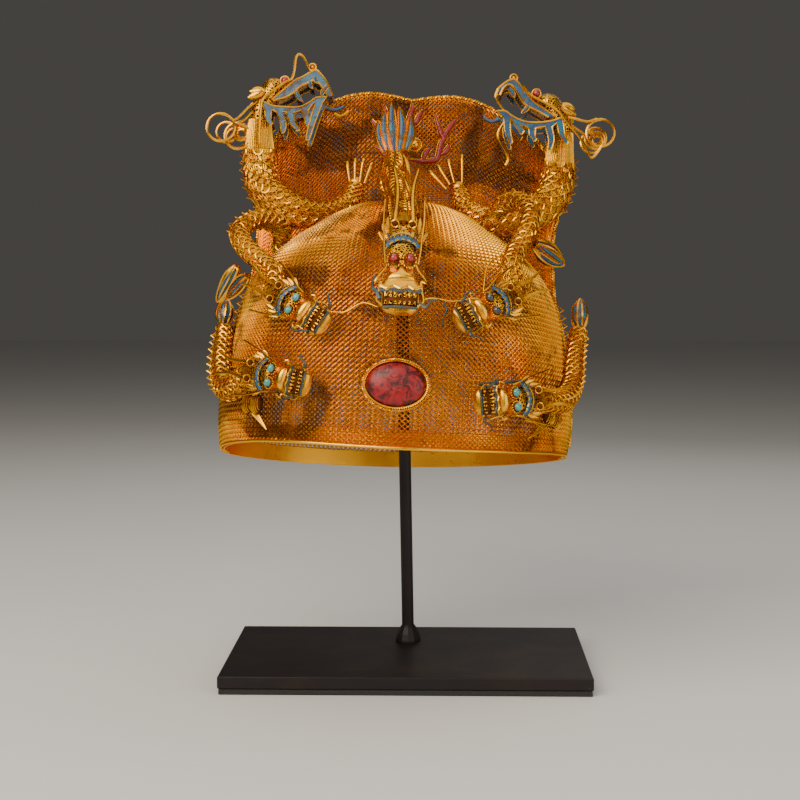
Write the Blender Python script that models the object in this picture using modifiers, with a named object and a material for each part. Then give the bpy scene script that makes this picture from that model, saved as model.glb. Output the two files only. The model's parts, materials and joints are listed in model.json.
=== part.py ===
"""A woven gold crown with seven dragons, held on a plain steel display stand.

Metres, +Z up, the front of the crown faces -Y, and the origin is at the
middle of the stand's underside. The crown's pieces are modelled in the
crown's own frame, whose origin is at the middle of its rim, and an empty
tilts that frame back on the stand.
"""

import math

import bmesh
import bpy
from mathutils import Matrix, Vector

# Stand
PLATE_WIDTH = 0.2074
PLATE_DEPTH = 0.130
PLATE_THICKNESS = 0.0068
PLATE_EDGE = 0.0005
PAD_THICKNESS = 0.0030
PAD_INSET = 0.0006
POST_DIAMETER = 0.0072
POST_BACK = 0.026
POST_LEAN = 1.0
WELD_DIAMETER = 0.0150
WELD_HEIGHT = 0.0110
SUPPORT_DIAMETER = 0.046
SUPPORT_THICKNESS = 0.006

# Where the crown sits on the stand
RIM_CENTRE = Vector((-0.0083, -0.002, 0.1246))
CROWN_TILT = 9.15
CROWN_ROLL = 2.6

# Crown
CROWN_HALF_WIDTH = 0.1000
CROWN_HALF_DEPTH = 0.103
CROWN_BACK_DEPTH = 0.094
DOME_HEIGHT = 0.149
HILL_HEIGHT = 0.2256
HILL_HALF_WIDTH = 0.0935
WALL = 0.0012
GAP = 0.0003

# Rim: the strip inside it, its rolled foot and the waves of its edge
STRIP_HEIGHT = 0.008
STRIP_THICKNESS = 0.0009
ROLL_HEIGHT = 0.0026
RIM_SIDE_RISE = 0.0031
RIM_TWIST = 0.0032
RIM_DENT_RISE = 0.0042
RIM_DENT_AT = -44.0
RIM_DENT_SPREAD = 40.0
WAVE_REACH = 0.035

# Wires and small parts
EDGE_WIRE = 0.0013
PEARL_RADIUS = 0.0027
FLAME_RADIUS = 0.0010
FLAME_CLEAR = 2 * GAP
CLAW_RADIUS = 0.0011
CURL_WIRE = 0.0011
STONE_LENGTH = 0.0310
STONE_HEIGHT = 0.0232
STONE_RISE = 0.0058
BEZEL_WALL = 0.0018
BEZEL_RISE = 0.0030
STONE_AZIMUTH = 1.2
STONE_SHARE = 0.224

# Dragons on the dome
HEAD_LENGTH = 0.0335
CENTRE_HEAD_LENGTH = 0.0410
BODY_RADIUS = 0.0050
CENTRE_BODY_RADIUS = 0.0062
EYE_RADIUS = 0.0023
BLADE_WIDTH = 0.0050
BLADE_THICKNESS = 0.0016

# Dragons on the hill
REAR_BODY_RADIUS = 0.0098
REAR_HEAD_LENGTH = 0.044
REAR_HEAD_WIDTH = 0.017
BEARD_THICKNESS = 0.0012

# Dome: share of its height, share of the rim's half width
DOME_PROFILE = (
    (0.00, 1.000),
    (0.10, 1.014),
    (0.20, 1.014),
    (0.33, 1.000),
    (0.44, 0.970),
    (0.54, 0.933),
    (0.62, 0.893),
    (0.70, 0.832),
    (0.77, 0.745),
    (0.83, 0.640),
    (0.88, 0.535),
    (0.92, 0.450),
    (0.955, 0.355),
    (0.98, 0.245),
    (1.00, 0.000),
)

# Hill: share of its height, then its half width, the plane of its side seams,
# its depth behind that plane and its swell in front of it, as shares of
# HILL_HALF_WIDTH
HILL_SECTIONS = (
    (0.00, 1.083, 0.128, 0.973, 0.000),
    (0.13, 1.094, 0.140, 0.990, 0.000),
    (0.27, 1.075, 0.170, 0.980, 0.000),
    (0.36, 1.042, 0.200, 0.950, 0.000),
    (0.45, 1.010, 0.240, 0.900, 0.010),
    (0.61, 0.973, 0.340, 0.790, 0.060),
    (0.73, 1.000, 0.400, 0.680, 0.075),
    (0.80, 1.000, 0.435, 0.600, 0.075),
    (0.90, 1.000, 0.470, 0.480, 0.075),
    (1.00, 1.000, 0.490, 0.380, 0.075),
)

# Top line of the hill: share of the half width, share of the height
HILL_TOP = (
    (0.00, 0.984),
    (0.09, 0.992),
    (0.20, 0.999),
    (0.29, 1.000),
    (0.41, 0.991),
    (0.50, 0.977),
    (0.60, 0.957),
    (0.75, 0.920),
    (0.87, 0.873),
    (0.95, 0.820),
    (1.00, 0.755),
)

# The two hollows of the hill's front: share of the half width, share of the
# height, reach across, reach up, depth, all but the second of the half width
HILL_HOLLOW = (0.61, 0.790, 0.30, 0.24, 0.090)

# Body of each dragon on the dome: azimuth from the front in degrees, share of
# DOME_HEIGHT, lift of the middle off the dome and thickness in body radii
UPPER_LEFT_BODY = (
    (-73.0, 0.765, -0.4, 0.80),
    (-71.0, 0.798, 0.9, 0.95),
    (-67.7, 0.799, 2.4, 1.00),
    (-65.1, 0.768, 4.1, 1.00),
    (-62.8, 0.725, 4.9, 1.00),
    (-59.8, 0.695, 4.8, 1.00),
    (-54.5, 0.665, 3.6, 1.00),
    (-49.0, 0.638, 1.9, 1.00),
    (-43.4, 0.602, 1.2, 1.00),
    (-38.5, 0.558, 1.2, 0.95),
)
UPPER_RIGHT_BODY = (
    (70.0, 0.885, -0.4, 0.80),
    (64.5, 0.888, 1.0, 0.95),
    (62.0, 0.882, 3.0, 1.00),
    (60.2, 0.846, 4.9, 1.00),
    (57.7, 0.805, 4.9, 1.00),
    (51.8, 0.765, 3.5, 1.00),
    (47.0, 0.728, 1.8, 1.00),
    (41.5, 0.677, 1.3, 1.00),
    (36.5, 0.600, 1.2, 0.95),
)
LOWER_LEFT_BODY = (
    (-73.6, 0.450, 1.20, 0.85),
    (-71.6, 0.392, 0.98, 1.00),
    (-68.6, 0.317, 0.98, 1.10),
    (-64.6, 0.244, 1.00, 1.15),
    (-59.3, 0.205, 1.00, 1.20),
    (-53.0, 0.215, 0.98, 1.15),
    (-48.0, 0.240, 0.95, 1.00),
    (-44.5, 0.252, 0.95, 0.95),
)
LOWER_RIGHT_BODY = (
    (79.3, 0.503, 2.1, 0.85),
    (77.2, 0.437, 1.4, 1.00),
    (73.1, 0.358, 1.00, 1.10),
    (68.9, 0.283, 1.00, 1.15),
    (61.9, 0.227, 1.00, 1.20),
    (54.5, 0.206, 0.98, 1.10),
    (49.0, 0.205, 0.95, 1.00),
    (45.5, 0.203, 0.95, 0.95),
)
CENTRE_BODY = (
    (-55.0, 0.996, 4.35, 0.80),
    (-30.4, 0.991, 3.1, 1.00),
    (-17.2, 0.984, 1.85, 1.10),
    (-7.0, 0.965, 1.02, 1.10),
    (-2.0, 0.915, 0.92, 1.00),
)

# Dragons on the dome. The head is placed by the middle of its brow, and its
# heading is counted from level, towards the right as it is seen from outside
FRONT_DRAGONS = {
    # name: body, azimuth, share, lift, heading, pitch
    "upper_left": (UPPER_LEFT_BODY, -33.7, 0.500, 0.0010, -27.0, 4.0),
    "upper_right": (UPPER_RIGHT_BODY, 32.0, 0.529, 0.0010, 206.0, 4.0),
    "lower_left": (LOWER_LEFT_BODY, -38.3, 0.246, 0.0004, -11.0, 4.0),
    "lower_right": (LOWER_RIGHT_BODY, 38.8, 0.200, 0.0004, 188.0, 4.0),
    "centre": (CENTRE_BODY, 1.2, 0.710, 0.0020, -90.0, 3.0),
}

# Skull: share of the head's length forward of the brow, half width, underside
# and top as shares of that length
SKULL = (
    (-0.36, 0.15, 0.03, 0.26),
    (-0.30, 0.19, 0.02, 0.32),
    (0.02, 0.24, 0.03, 0.38),
    (0.32, 0.20, 0.10, 0.34),
    (0.44, 0.20, 0.14, 0.37),
    (0.54, 0.22, 0.19, 0.42),
    (0.64, 0.26, 0.22, 0.36),
    (0.70, 0.24, 0.24, 0.32),
)
JAW = (
    (0.04, 0.17, 0.02, 0.10),
    (0.45, 0.20, 0.02, 0.11),
    (0.80, 0.22, 0.02, 0.11),
    (0.94, 0.20, 0.03, 0.20),
    (1.00, 0.15, 0.08, 0.22),
)
# Horn: forward, sideways and outward, and thickness, as shares of the length
HORN = (
    (-0.18, 0.120, 0.30, 0.050),
    (-0.34, 0.125, 0.37, 0.055),
    (-0.60, 0.130, 0.42, 0.045),
    (-0.86, 0.140, 0.47, 0.035),
)
CENTRE_HORN_STRETCH = 1.25
EYE_FORWARD = 0.27
EYE_SIDE = 0.125
EYE_TOP = 0.36

# Tails: where the fin springs from, as azimuth, share and lift in body
# radii, where its longest blade ends, and how many blades it has
TAILS = {
    "upper_left": ((-57.0, 0.634, 3.7), (-66.1, 0.514, 3.3), 4),
    "upper_right": ((57.2, 0.768, 3.6), (69.9, 0.676, 2.6), 4),
    "lower_left": ((-73.9, 0.462, 1.5), (-75.8, 0.545, 1.9), 3),
    "lower_right": ((79.6, 0.515, 2.2), (82.5, 0.600, 3.0), 3),
    "centre": ((-80.0, 0.998, 4.9), (-132.0, 0.995, 10.2), 5),
}

# Body of a hill dragon, on the left: share of HILL_HALF_WIDTH out, share of
# HILL_HEIGHT up, lift off the hill's front and thickness in body radii
REAR_BODY = (
    (-0.985, 0.905, 0.60, 0.72),
    (-0.985, 0.860, 0.45, 0.80),
    (-0.980, 0.810, 0.25, 0.95),
    (-0.965, 0.760, 0.15, 1.00),
    (-0.920, 0.712, 0.10, 1.00),
    (-0.820, 0.676, 0.10, 1.00),
    (-0.700, 0.656, 0.10, 0.95),
    (-0.570, 0.648, 0.10, 0.85),
    (-0.455, 0.658, 0.10, 0.72),
    (-0.375, 0.688, 0.10, 0.58),
    (-0.338, 0.735, 0.10, 0.46),
)
# Claw: where each rod ends, out and up as above
REAR_PAW = (-0.335, 0.742)
LEFT_CLAWS = ((-0.405, 0.806), (-0.350, 0.812), (-0.290, 0.812), (-0.235, 0.800))
RIGHT_CLAWS = ((-0.135, 0.783), (-0.185, 0.805), (-0.260, 0.820), (-0.345, 0.839))

# Head of a hill dragon, seen from the side: forward and up from the hinge of
# the jaw, then half the height and half the width, as shares of the length
REAR_SKULL = (
    (-0.16, 0.10, 0.09, 0.30),
    (0.00, 0.20, 0.17, 0.50),
    (0.20, 0.32, 0.20, 0.55),
    (0.38, 0.38, 0.15, 0.50),
    (0.58, 0.45, 0.10, 0.46),
    (0.76, 0.52, 0.09, 0.42),
    (0.86, 0.54, 0.06, 0.30),
)
REAR_NECK_TOP = (0.04, 0.0, 0.13)
REAR_JAW = (
    (-0.10, 0.06, 0.10, 0.36),
    (0.12, -0.06, 0.07, 0.46),
    (0.38, -0.13, 0.05, 0.46),
    (0.64, -0.08, 0.05, 0.42),
    (0.86, 0.03, 0.04, 0.32),
)
# Beard: where each blade hangs from and ends, forward and up from the hinge
BEARD_BLADE_WIDTH = 0.13
BEARD = (
    (0.15, -0.12, 0.06, -0.36),
    (0.28, -0.14, 0.26, -0.44),
    (0.42, -0.16, 0.44, -0.47),
    (0.57, -0.13, 0.60, -0.42),
    (0.77, -0.05, 0.71, -0.62),
)
# Hinge of the jaw and pitch of each head, as shares of the hill's sizes
REAR_HEADS = {
    "rear_left": (-0.982, 0.944, 0.0125, 0.0, LEFT_CLAWS),
    "rear_right": (0.992, 0.928, 0.0125, 2.0, RIGHT_CLAWS),
}
# Curls of the mane behind a hill head: middle out and up from the hinge, and
# radius, as shares of the head's length
CURLS = ((-0.56, -0.33, 0.19), (-0.40, -0.40, 0.16))
CURL_STEP = 0.0034

# Red flame right of the pearl: branches of points out and up
FLAME = (
    ((0.040, 0.811), (0.085, 0.814), (0.178, 0.822), (0.205, 0.870), (0.210, 0.892), (0.165, 0.948)),
    ((0.207, 0.886), (0.245, 0.912), (0.292, 0.934)),
    ((0.110, 0.816), (0.130, 0.832), (0.143, 0.846)),
    ((0.182, 0.828), (0.225, 0.840), (0.260, 0.862)),
)
FLAME_TOP = (
    ((0.004, 0.970), (-0.008, 0.938), (-0.022, 0.892)),
    ((-0.010, 0.930), (0.040, 0.945), (0.076, 0.960)),
)
PEARL_AT = (0.014, 0.858)


def clear_scene():
    for obj in list(bpy.data.objects):
        bpy.data.objects.remove(obj, do_unlink=True)


def new_collection(name):
    collection = bpy.data.collections.new(name)
    bpy.context.scene.collection.children.link(collection)
    return collection


def make_material(name, color, roughness, metallic):
    material = bpy.data.materials.new(name)
    material.use_nodes = True
    shader = material.node_tree.nodes["Principled BSDF"]
    shader.inputs["Base Color"].default_value = (*color, 1.0)
    shader.inputs["Roughness"].default_value = roughness
    shader.inputs["Metallic"].default_value = metallic
    return material


def blend(rows, value, column=1):
    """A smooth curve through one column of a table, read at a value of the first."""
    last = len(rows) - 1
    value = min(max(value, rows[0][0]), rows[last][0])
    i = next((k for k in range(last) if value <= rows[k + 1][0]), last - 1)

    def slope(k):
        low, high = rows[max(k - 1, 0)], rows[min(k + 1, last)]
        return (high[column] - low[column]) / (high[0] - low[0])

    span = rows[i + 1][0] - rows[i][0]
    t = (value - rows[i][0]) / span
    rise = (1 - t) ** 2 * (1 + 2 * t) * rows[i][column]
    rise += t * t * (3 - 2 * t) * rows[i + 1][column]
    return rise + span * (t * (1 - t) ** 2 * slope(i) - t * t * (1 - t) * slope(i + 1))


def smooth_path(rows, steps):
    """Points along a smooth curve through the rows, which may hold any numbers."""
    path = []
    keyed = [(k, *row) for k, row in enumerate(rows)]
    for k in range((len(rows) - 1) * steps + 1):
        path.append([blend(keyed, k / steps, c + 1) for c in range(len(rows[0]))])
    return path


def rim_wave(azimuth):
    """How far the rim's edge is bent up at an azimuth."""
    angle = math.radians(azimuth)
    off = (azimuth - RIM_DENT_AT + 180) % 360 - 180
    dent = RIM_DENT_RISE * math.exp(-((off / RIM_DENT_SPREAD) ** 2))
    return RIM_SIDE_RISE * math.sin(angle) ** 2 + RIM_TWIST * math.sin(angle) + dent


def waved(point):
    """A point of the crown's wall, bent with the rim near the rim."""
    azimuth = math.degrees(math.atan2(point.x, -point.y))
    fade = max(0.0, 1 - max(point.z, 0.0) / WAVE_REACH)
    return point + Vector((0, 0, rim_wave(azimuth) * fade * fade))


def dome_skin(azimuth, share):
    radius = blend(DOME_PROFILE, share)
    angle = math.radians(azimuth)
    depth = CROWN_HALF_DEPTH if math.cos(angle) > 0 else CROWN_BACK_DEPTH
    x = CROWN_HALF_WIDTH * radius * math.sin(angle)
    y = -depth * radius * math.cos(angle)
    return Vector((x, y, DOME_HEIGHT * share))


def dome_normal(azimuth, share):
    step = 1e-3
    share = min(max(share, step), 1 - 2 * step)
    across = dome_skin(azimuth + 0.5, share) - dome_skin(azimuth - 0.5, share)
    up = dome_skin(azimuth, share + step) - dome_skin(azimuth, share - step)
    return across.cross(up).normalized()


def dome_point(azimuth, share, lift=0.0):
    return dome_skin(azimuth, share) + lift * dome_normal(azimuth, share)


def dome_height(x, y):
    """Height of the dome's outside over a point of the rim's plane."""
    depth = CROWN_HALF_DEPTH if y < 0 else CROWN_BACK_DEPTH
    reach = math.hypot(x / CROWN_HALF_WIDTH, y / depth)
    low, high = 0.3, 1.0
    for _ in range(30):
        middle = (low + high) / 2
        if blend(DOME_PROFILE, middle) > reach:
            low = middle
        else:
            high = middle
    return DOME_HEIGHT * low


def hill_size(share, column):
    return blend(HILL_SECTIONS, share, column) * HILL_HALF_WIDTH


def hollow(x, share):
    out, up, reach_out, reach_up, depth = HILL_HOLLOW
    across = (abs(x) / HILL_HALF_WIDTH - out) / reach_out
    rise = (share - up) * HILL_HEIGHT / (reach_up * HILL_HALF_WIDTH)
    return depth * HILL_HALF_WIDTH * math.exp(-(across**2) - rise**2)


def hill_point(u, v, front, grow=0.0):
    """A point of the hill's front or back, u across from -1 to 1 and v up from 0 to 1."""
    share = v * blend(HILL_TOP, abs(u))
    x = u * (hill_size(share, 1) + grow)
    z = share * (HILL_HEIGHT + grow)
    close = math.sqrt(max(0.0, 1 - v**6))
    y = hill_size(share, 2) - grow
    if front:
        round_off = math.sqrt(max(0.0, 1 - abs(u) ** 6)) * close
        y -= (hill_size(share, 4) - hollow(x, share)) * round_off
    else:
        y += (hill_size(share, 3) + 2 * grow) * math.sqrt(max(0.0, 1 - u * u)) * close
    return Vector((x, y, z))


def hill_front(out, up, lift=0.0):
    """The point of the hill's front at a share of its half width and height."""
    x = out * HILL_HALF_WIDTH
    u = x / hill_size(up, 1)
    v = min(up / blend(HILL_TOP, min(abs(u), 1.0)), 1.0)
    point = hill_point(max(-1.0, min(1.0, u)), v, True)
    return Vector((x, point.y - lift, up * HILL_HEIGHT))


def add_object(name, bm, material, collection, parent=None):
    mesh = bpy.data.meshes.new(name)
    bmesh.ops.recalc_face_normals(bm, faces=bm.faces)
    bm.to_mesh(mesh)
    bm.free()
    if material:
        mesh.materials.append(material)
    obj = bpy.data.objects.new(name, mesh)
    collection.objects.link(obj)
    obj.parent = parent
    return obj


def smooth(obj, angle=40.0):
    obj.data.shade_smooth()
    obj.data.set_sharp_from_angle(angle=math.radians(angle))
    return obj


def loft(bm, rings, closed_ends=True):
    """Skin between rings of equal count, each a closed loop of points."""
    loops = [[bm.verts.new(point) for point in ring] for ring in rings]
    count = len(loops[0])
    for low, high in zip(loops, loops[1:]):
        for k in range(count):
            n = (k + 1) % count
            bm.faces.new((low[k], low[n], high[n], high[k]))
    if closed_ends:
        bm.faces.new(loops[0])
        bm.faces.new(loops[-1])
    return loops


def helper(obj, cutters):
    """Marks an object as a cutter or a fused part, which is no piece of its own."""
    for collection in list(obj.users_collection):
        collection.objects.unlink(obj)
    cutters.objects.link(obj)
    obj.hide_render = True
    obj.display_type = "WIRE"
    return obj


def combine(obj, other, operation):
    modifier = obj.modifiers.new(other.name, "BOOLEAN")
    modifier.operation = operation
    modifier.solver = "EXACT"
    modifier.object = other


def cut(obj, *others):
    for other in others:
        combine(obj, other, "DIFFERENCE")


def fuse(obj, cutters, *others):
    for other in others:
        combine(obj, helper(other, cutters), "UNION")


def tube(name, points, radii, kit, material, sides_step=2):
    """A closed mesh tube along points, made from a bevelled curve with caps."""
    curve = bpy.data.curves.new(name, "CURVE")
    curve.dimensions = "3D"
    curve.bevel_depth = 1.0
    curve.bevel_resolution = sides_step
    curve.use_fill_caps = True
    spline = curve.splines.new("POLY")
    spline.points.add(len(points) - 1)
    for knot, point, radius in zip(spline.points, points, radii):
        knot.co = (*point, 1.0)
        knot.radius = radius
    guide = bpy.data.objects.new(name + "_guide", curve)
    kit.pieces.objects.link(guide)
    bpy.context.view_layer.update()
    graph = bpy.context.evaluated_depsgraph_get()
    mesh = bpy.data.meshes.new_from_object(guide.evaluated_get(graph))
    bpy.data.objects.remove(guide, do_unlink=True)
    bm = bmesh.new()
    bm.from_mesh(mesh)
    bpy.data.meshes.remove(mesh)
    bmesh.ops.remove_doubles(bm, verts=bm.verts, dist=1e-6)
    return smooth(add_object(name, bm, material, kit.pieces, kit.crown))


class Kit:
    """The collections, materials, cutters and crown frame that every piece uses."""

    def __init__(self):
        self.pieces = new_collection("gold_crown_on_stand")
        self.cutters = new_collection("cutters")
        self.gold = make_material("gold", (0.62, 0.33, 0.06), 0.30, 1.0)
        self.weave = make_material("woven_gold", (0.60, 0.30, 0.05), 0.36, 1.0)
        self.blue = make_material("blue_enamel", (0.03, 0.22, 0.42), 0.25, 0.0)
        self.red = make_material("red_enamel", (0.38, 0.02, 0.02), 0.28, 0.0)
        self.stone = make_material("red_stone", (0.36, 0.01, 0.05), 0.15, 0.0)
        self.turquoise = make_material("turquoise", (0.10, 0.45, 0.42), 0.25, 0.0)
        self.steel = make_material("black_steel", (0.018, 0.016, 0.017), 0.45, 0.6)
        self.rubber = make_material("pad_rubber", (0.02, 0.02, 0.02), 0.8, 0.0)
        self.crown = bpy.data.objects.new("crown_pose", None)
        self.pieces.objects.link(self.crown)
        self.crown.location = RIM_CENTRE
        self.crown.rotation_euler = (-math.radians(CROWN_TILT), math.radians(CROWN_ROLL), 0)
        self.dome_cutter = None
        self.hill_cutter = None
        self.edge_cutters = []

    def seat(self, obj):
        """Cuts a piece back from the dome, the hill and its edge wires, less the gap."""
        cut(obj, self.dome_cutter, self.hill_cutter, *self.edge_cutters)
        return obj


DOME_STEPS = 30
DOME_SHARES = (0.0, 0.15, 0.32, 0.48, 0.62, 0.74, 0.84, 0.92, 0.975)
HILL_COLUMNS = 12
HILL_ROWS = (0.0, 0.20, 0.40, 0.56, 0.68, 0.78, 0.87, 0.935, 0.975)
SEAM_WIRE_TOP = 0.72
TOP_WIRE_FIRST = 4
BELOW = 0.02


def dome_ring(share, lift):
    return [
        waved(dome_point(k * 360.0 / DOME_STEPS, share, lift)) for k in range(DOME_STEPS)
    ]


def facet(bm):
    """Splits every face alike, so that a wall and its cutter match."""
    bmesh.ops.triangulate(bm, faces=list(bm.faces), quad_method="FIXED")


def close_top(bm, loop, point):
    tip = bm.verts.new(point)
    for k in range(len(loop)):
        bm.faces.new((loop[k], loop[(k + 1) % len(loop)], tip))


def before_hill(point):
    """A point brought forward to just behind the front wall of the hill."""
    seam = hill_size(max(point.z, 0.0) / HILL_HEIGHT, 2) + 2 * WALL
    if point.y <= seam:
        return point
    around = math.hypot(point.x / CROWN_HALF_WIDTH, point.y / CROWN_BACK_DEPTH)
    edge = CROWN_HALF_WIDTH * math.sqrt(around**2 - (seam / CROWN_BACK_DEPTH) ** 2)
    return Vector((max(-edge, min(edge, 1.06 * point.x)), seam, point.z))


def dome_solid(name, lift, kit):
    """The room that the dome fills, grown by lift and run on below the rim."""
    bm = bmesh.new()
    foot = [Vector((p.x, p.y, -BELOW)) for p in dome_ring(0.0, lift)]
    rings = [foot] + [dome_ring(share, lift) for share in DOME_SHARES]
    rings = [[before_hill(point) for point in ring] for ring in rings]
    loops = loft(bm, rings, closed_ends=False)
    bm.faces.new(loops[0])
    close_top(bm, loops[-1], dome_point(0.0, 1.0, 0.0) + Vector((0, 0, lift)))
    facet(bm)
    return add_object(name, bm, None, kit.pieces, kit.crown)


def front_dome(kit):
    """The rounded front of the crown: a thin wall, open below."""
    bm = bmesh.new()
    outer = [dome_ring(share, 0.0) for share in DOME_SHARES]
    inner = [dome_ring(share, -WALL) for share in DOME_SHARES]
    skin = loft(bm, outer, closed_ends=False)
    lining = loft(bm, inner, closed_ends=False)
    close_top(bm, skin[-1], Vector((0, 0, DOME_HEIGHT)))
    close_top(bm, lining[-1], Vector((0, 0, DOME_HEIGHT - WALL)))
    for k in range(DOME_STEPS):
        n = (k + 1) % DOME_STEPS
        bm.faces.new((skin[0][k], skin[0][n], lining[0][n], lining[0][k]))
    facet(bm)
    obj = smooth(add_object("front_dome", bm, kit.weave, kit.pieces, kit.crown))
    cut(obj, kit.hill_cutter)
    return obj


def hill_loop(v, grow):
    """One closed loop of the hill at a height: round the back, then along the front."""
    loop = []
    for k in range(HILL_COLUMNS + 1):
        u = -math.cos(math.pi * k / HILL_COLUMNS)
        loop.append(waved(hill_point(u, v, False, grow)))
    for k in range(HILL_COLUMNS - 1, 0, -1):
        u = -math.cos(math.pi * k / HILL_COLUMNS)
        loop.append(waved(hill_point(u, v, True, grow)))
    return loop


def hill_crest(bm, loop, grow):
    """Closes the hill at its top line."""
    line = []
    for k in range(HILL_COLUMNS + 1):
        u = -math.cos(math.pi * k / HILL_COLUMNS)
        line.append(bm.verts.new(hill_point(u, 1.0, False, grow)))
    count = len(loop)
    for k in range(HILL_COLUMNS):
        bm.faces.new((loop[k], loop[k + 1], line[k + 1], line[k]))
        low, high = (count - k) % count, count - k - 1
        bm.faces.new((loop[low], loop[high], line[k + 1], line[k]))


def hill_solid(name, grow, kit):
    """The room that the hill fills, grown and run on below the rim."""
    bm = bmesh.new()
    foot = [Vector((p.x, p.y, -BELOW)) for p in hill_loop(0.0, grow)]
    loops = loft(bm, [foot] + [hill_loop(v, grow) for v in HILL_ROWS], closed_ends=False)
    bm.faces.new(loops[0])
    hill_crest(bm, loops[-1], grow)
    facet(bm)
    return add_object(name, bm, None, kit.pieces, kit.crown)


def back_hill(kit):
    """The tall two-lobed back of the crown: a thin wall, open below and to the dome."""
    bm = bmesh.new()
    loops = {}
    for grow in (0.0, -WALL):
        rings = [hill_loop(v, grow) for v in HILL_ROWS]
        loops[grow] = loft(bm, rings, closed_ends=False)
        hill_crest(bm, loops[grow][-1], grow)
    outer, inner = loops[0.0][0], loops[-WALL][0]
    for k in range(len(outer)):
        n = (k + 1) % len(outer)
        bm.faces.new((outer[k], outer[n], inner[n], inner[k]))
    facet(bm)
    obj = smooth(add_object("back_hill", bm, kit.weave, kit.pieces, kit.crown))
    cut(obj, kit.dome_cutter)
    return obj


def sphere(name, radius, place, kit, material, segments=6, rings=4, stretch=(1, 1, 1)):
    bm = bmesh.new()
    bmesh.ops.create_uvsphere(bm, u_segments=segments, v_segments=rings, radius=radius)
    bmesh.ops.scale(bm, vec=stretch, verts=bm.verts)
    bmesh.ops.transform(bm, matrix=place, verts=bm.verts)
    return smooth(add_object(name, bm, material, kit.pieces, kit.crown), 60)


def edge_wire(name, places, kit):
    """A rolled wire along the hill's outline, and the room that it needs."""
    clear = EDGE_WIRE + 2 * GAP
    path = [waved(hill_point(u, v, False, clear)) + Vector((0, clear, 0)) for u, v in places]
    wire = tube(name, path, [EDGE_WIRE] * len(path), kit, kit.gold, 1)
    cut(wire, kit.hill_cutter)
    room = tube(name + "_room", path, [EDGE_WIRE + GAP] * len(path), kit, None, 1)
    kit.edge_cutters.append(helper(room, kit.cutters))


def hill_edges(kit):
    """The wires up both side seams of the hill and over its lobes between the heads."""
    rows = [v for v in HILL_ROWS if 0 < v < SEAM_WIRE_TOP]
    for side, word in ((-1, "left"), (1, "right")):
        seam = [(side, v) for v in [0.04] + rows + [SEAM_WIRE_TOP]]
        edge_wire("seam_wire_" + word, seam, kit)
    columns = range(TOP_WIRE_FIRST, HILL_COLUMNS - TOP_WIRE_FIRST + 1)
    top = [(-math.cos(math.pi * k / HILL_COLUMNS), 1.0) for k in columns]
    edge_wire("hill_edge", top, kit)


def rim_plan():
    """The foot of the crown's wall, as points round the rim, front half and back half."""
    seam = math.degrees(math.acos(-hill_size(0.0, 2) / CROWN_BACK_DEPTH))
    step = 360 // DOME_STEPS
    reach = 90 // step * step
    front = [float(a) for a in range(-reach, reach + 1, step)]
    points = [dome_skin(a, 0.0) for a in [-seam] + front + [seam]]
    for k in range(HILL_COLUMNS - 1, 0, -1):
        points.append(hill_point(-math.cos(math.pi * k / HILL_COLUMNS), 0.0, False))
    return points


def rim_band(kit):
    """The polished strip inside the rim, with a rolled foot under the walls."""
    inside = WALL + GAP
    far = inside + STRIP_THICKNESS
    section = (
        (inside, STRIP_HEIGHT),
        (far, STRIP_HEIGHT),
        (far, -0.7 * ROLL_HEIGHT),
        (WALL / 2, -GAP - ROLL_HEIGHT),
        (-WALL, -GAP - 0.6 * ROLL_HEIGHT),
        (-0.5 * WALL, -GAP),
        (inside, -GAP),
    )
    plan = rim_plan()
    rings = []
    for k, point in enumerate(plan):
        along = plan[(k + 1) % len(plan)] - plan[k - 1]
        inward = Vector((-along.y, along.x, 0)).normalized()
        up = rim_wave(math.degrees(math.atan2(point.x, -point.y)))
        rings.append([point + d * inward + Vector((0, 0, up + z)) for d, z in section])
    bm = bmesh.new()
    loops = loft(bm, rings, closed_ends=False)
    first, last = loops[0], loops[-1]
    for k in range(len(section)):
        n = (k + 1) % len(section)
        bm.faces.new((last[k], last[n], first[n], first[k]))
    return smooth(add_object("rim_band", bm, kit.gold, kit.pieces, kit.crown))


def dome_frame(azimuth, share, lift, heading=0.0, pitch=0.0, size=1.0):
    """Forward, sideways and outward axes on the dome, scaled, with their origin there."""
    step = 1e-3
    out = dome_normal(azimuth, share)
    east = (dome_skin(azimuth + 0.5, share) - dome_skin(azimuth - 0.5, share)).normalized()
    up = out.cross(east)
    turn = math.radians(heading)
    ahead = math.cos(turn) * east + math.sin(turn) * up
    side = out.cross(ahead)
    place = Matrix((ahead, side, out)).transposed().to_4x4()
    place = place @ Matrix.Rotation(-math.radians(pitch), 4, "Y") @ Matrix.Scale(size, 4)
    place.translation = dome_point(azimuth, max(share, step), lift)
    return place


def oval(half_length, half_height, z, count=18):
    turn = 2 * math.pi / count
    return [
        Vector((half_length * math.cos(k * turn), half_height * math.sin(k * turn), z))
        for k in range(count)
    ]


def placed_loft(name, rings, place, kit, material, angle=40.0):
    bm = bmesh.new()
    loft(bm, [[place @ point for point in ring] for ring in rings])
    return smooth(add_object(name, bm, material, kit.pieces, kit.crown), angle)


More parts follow.
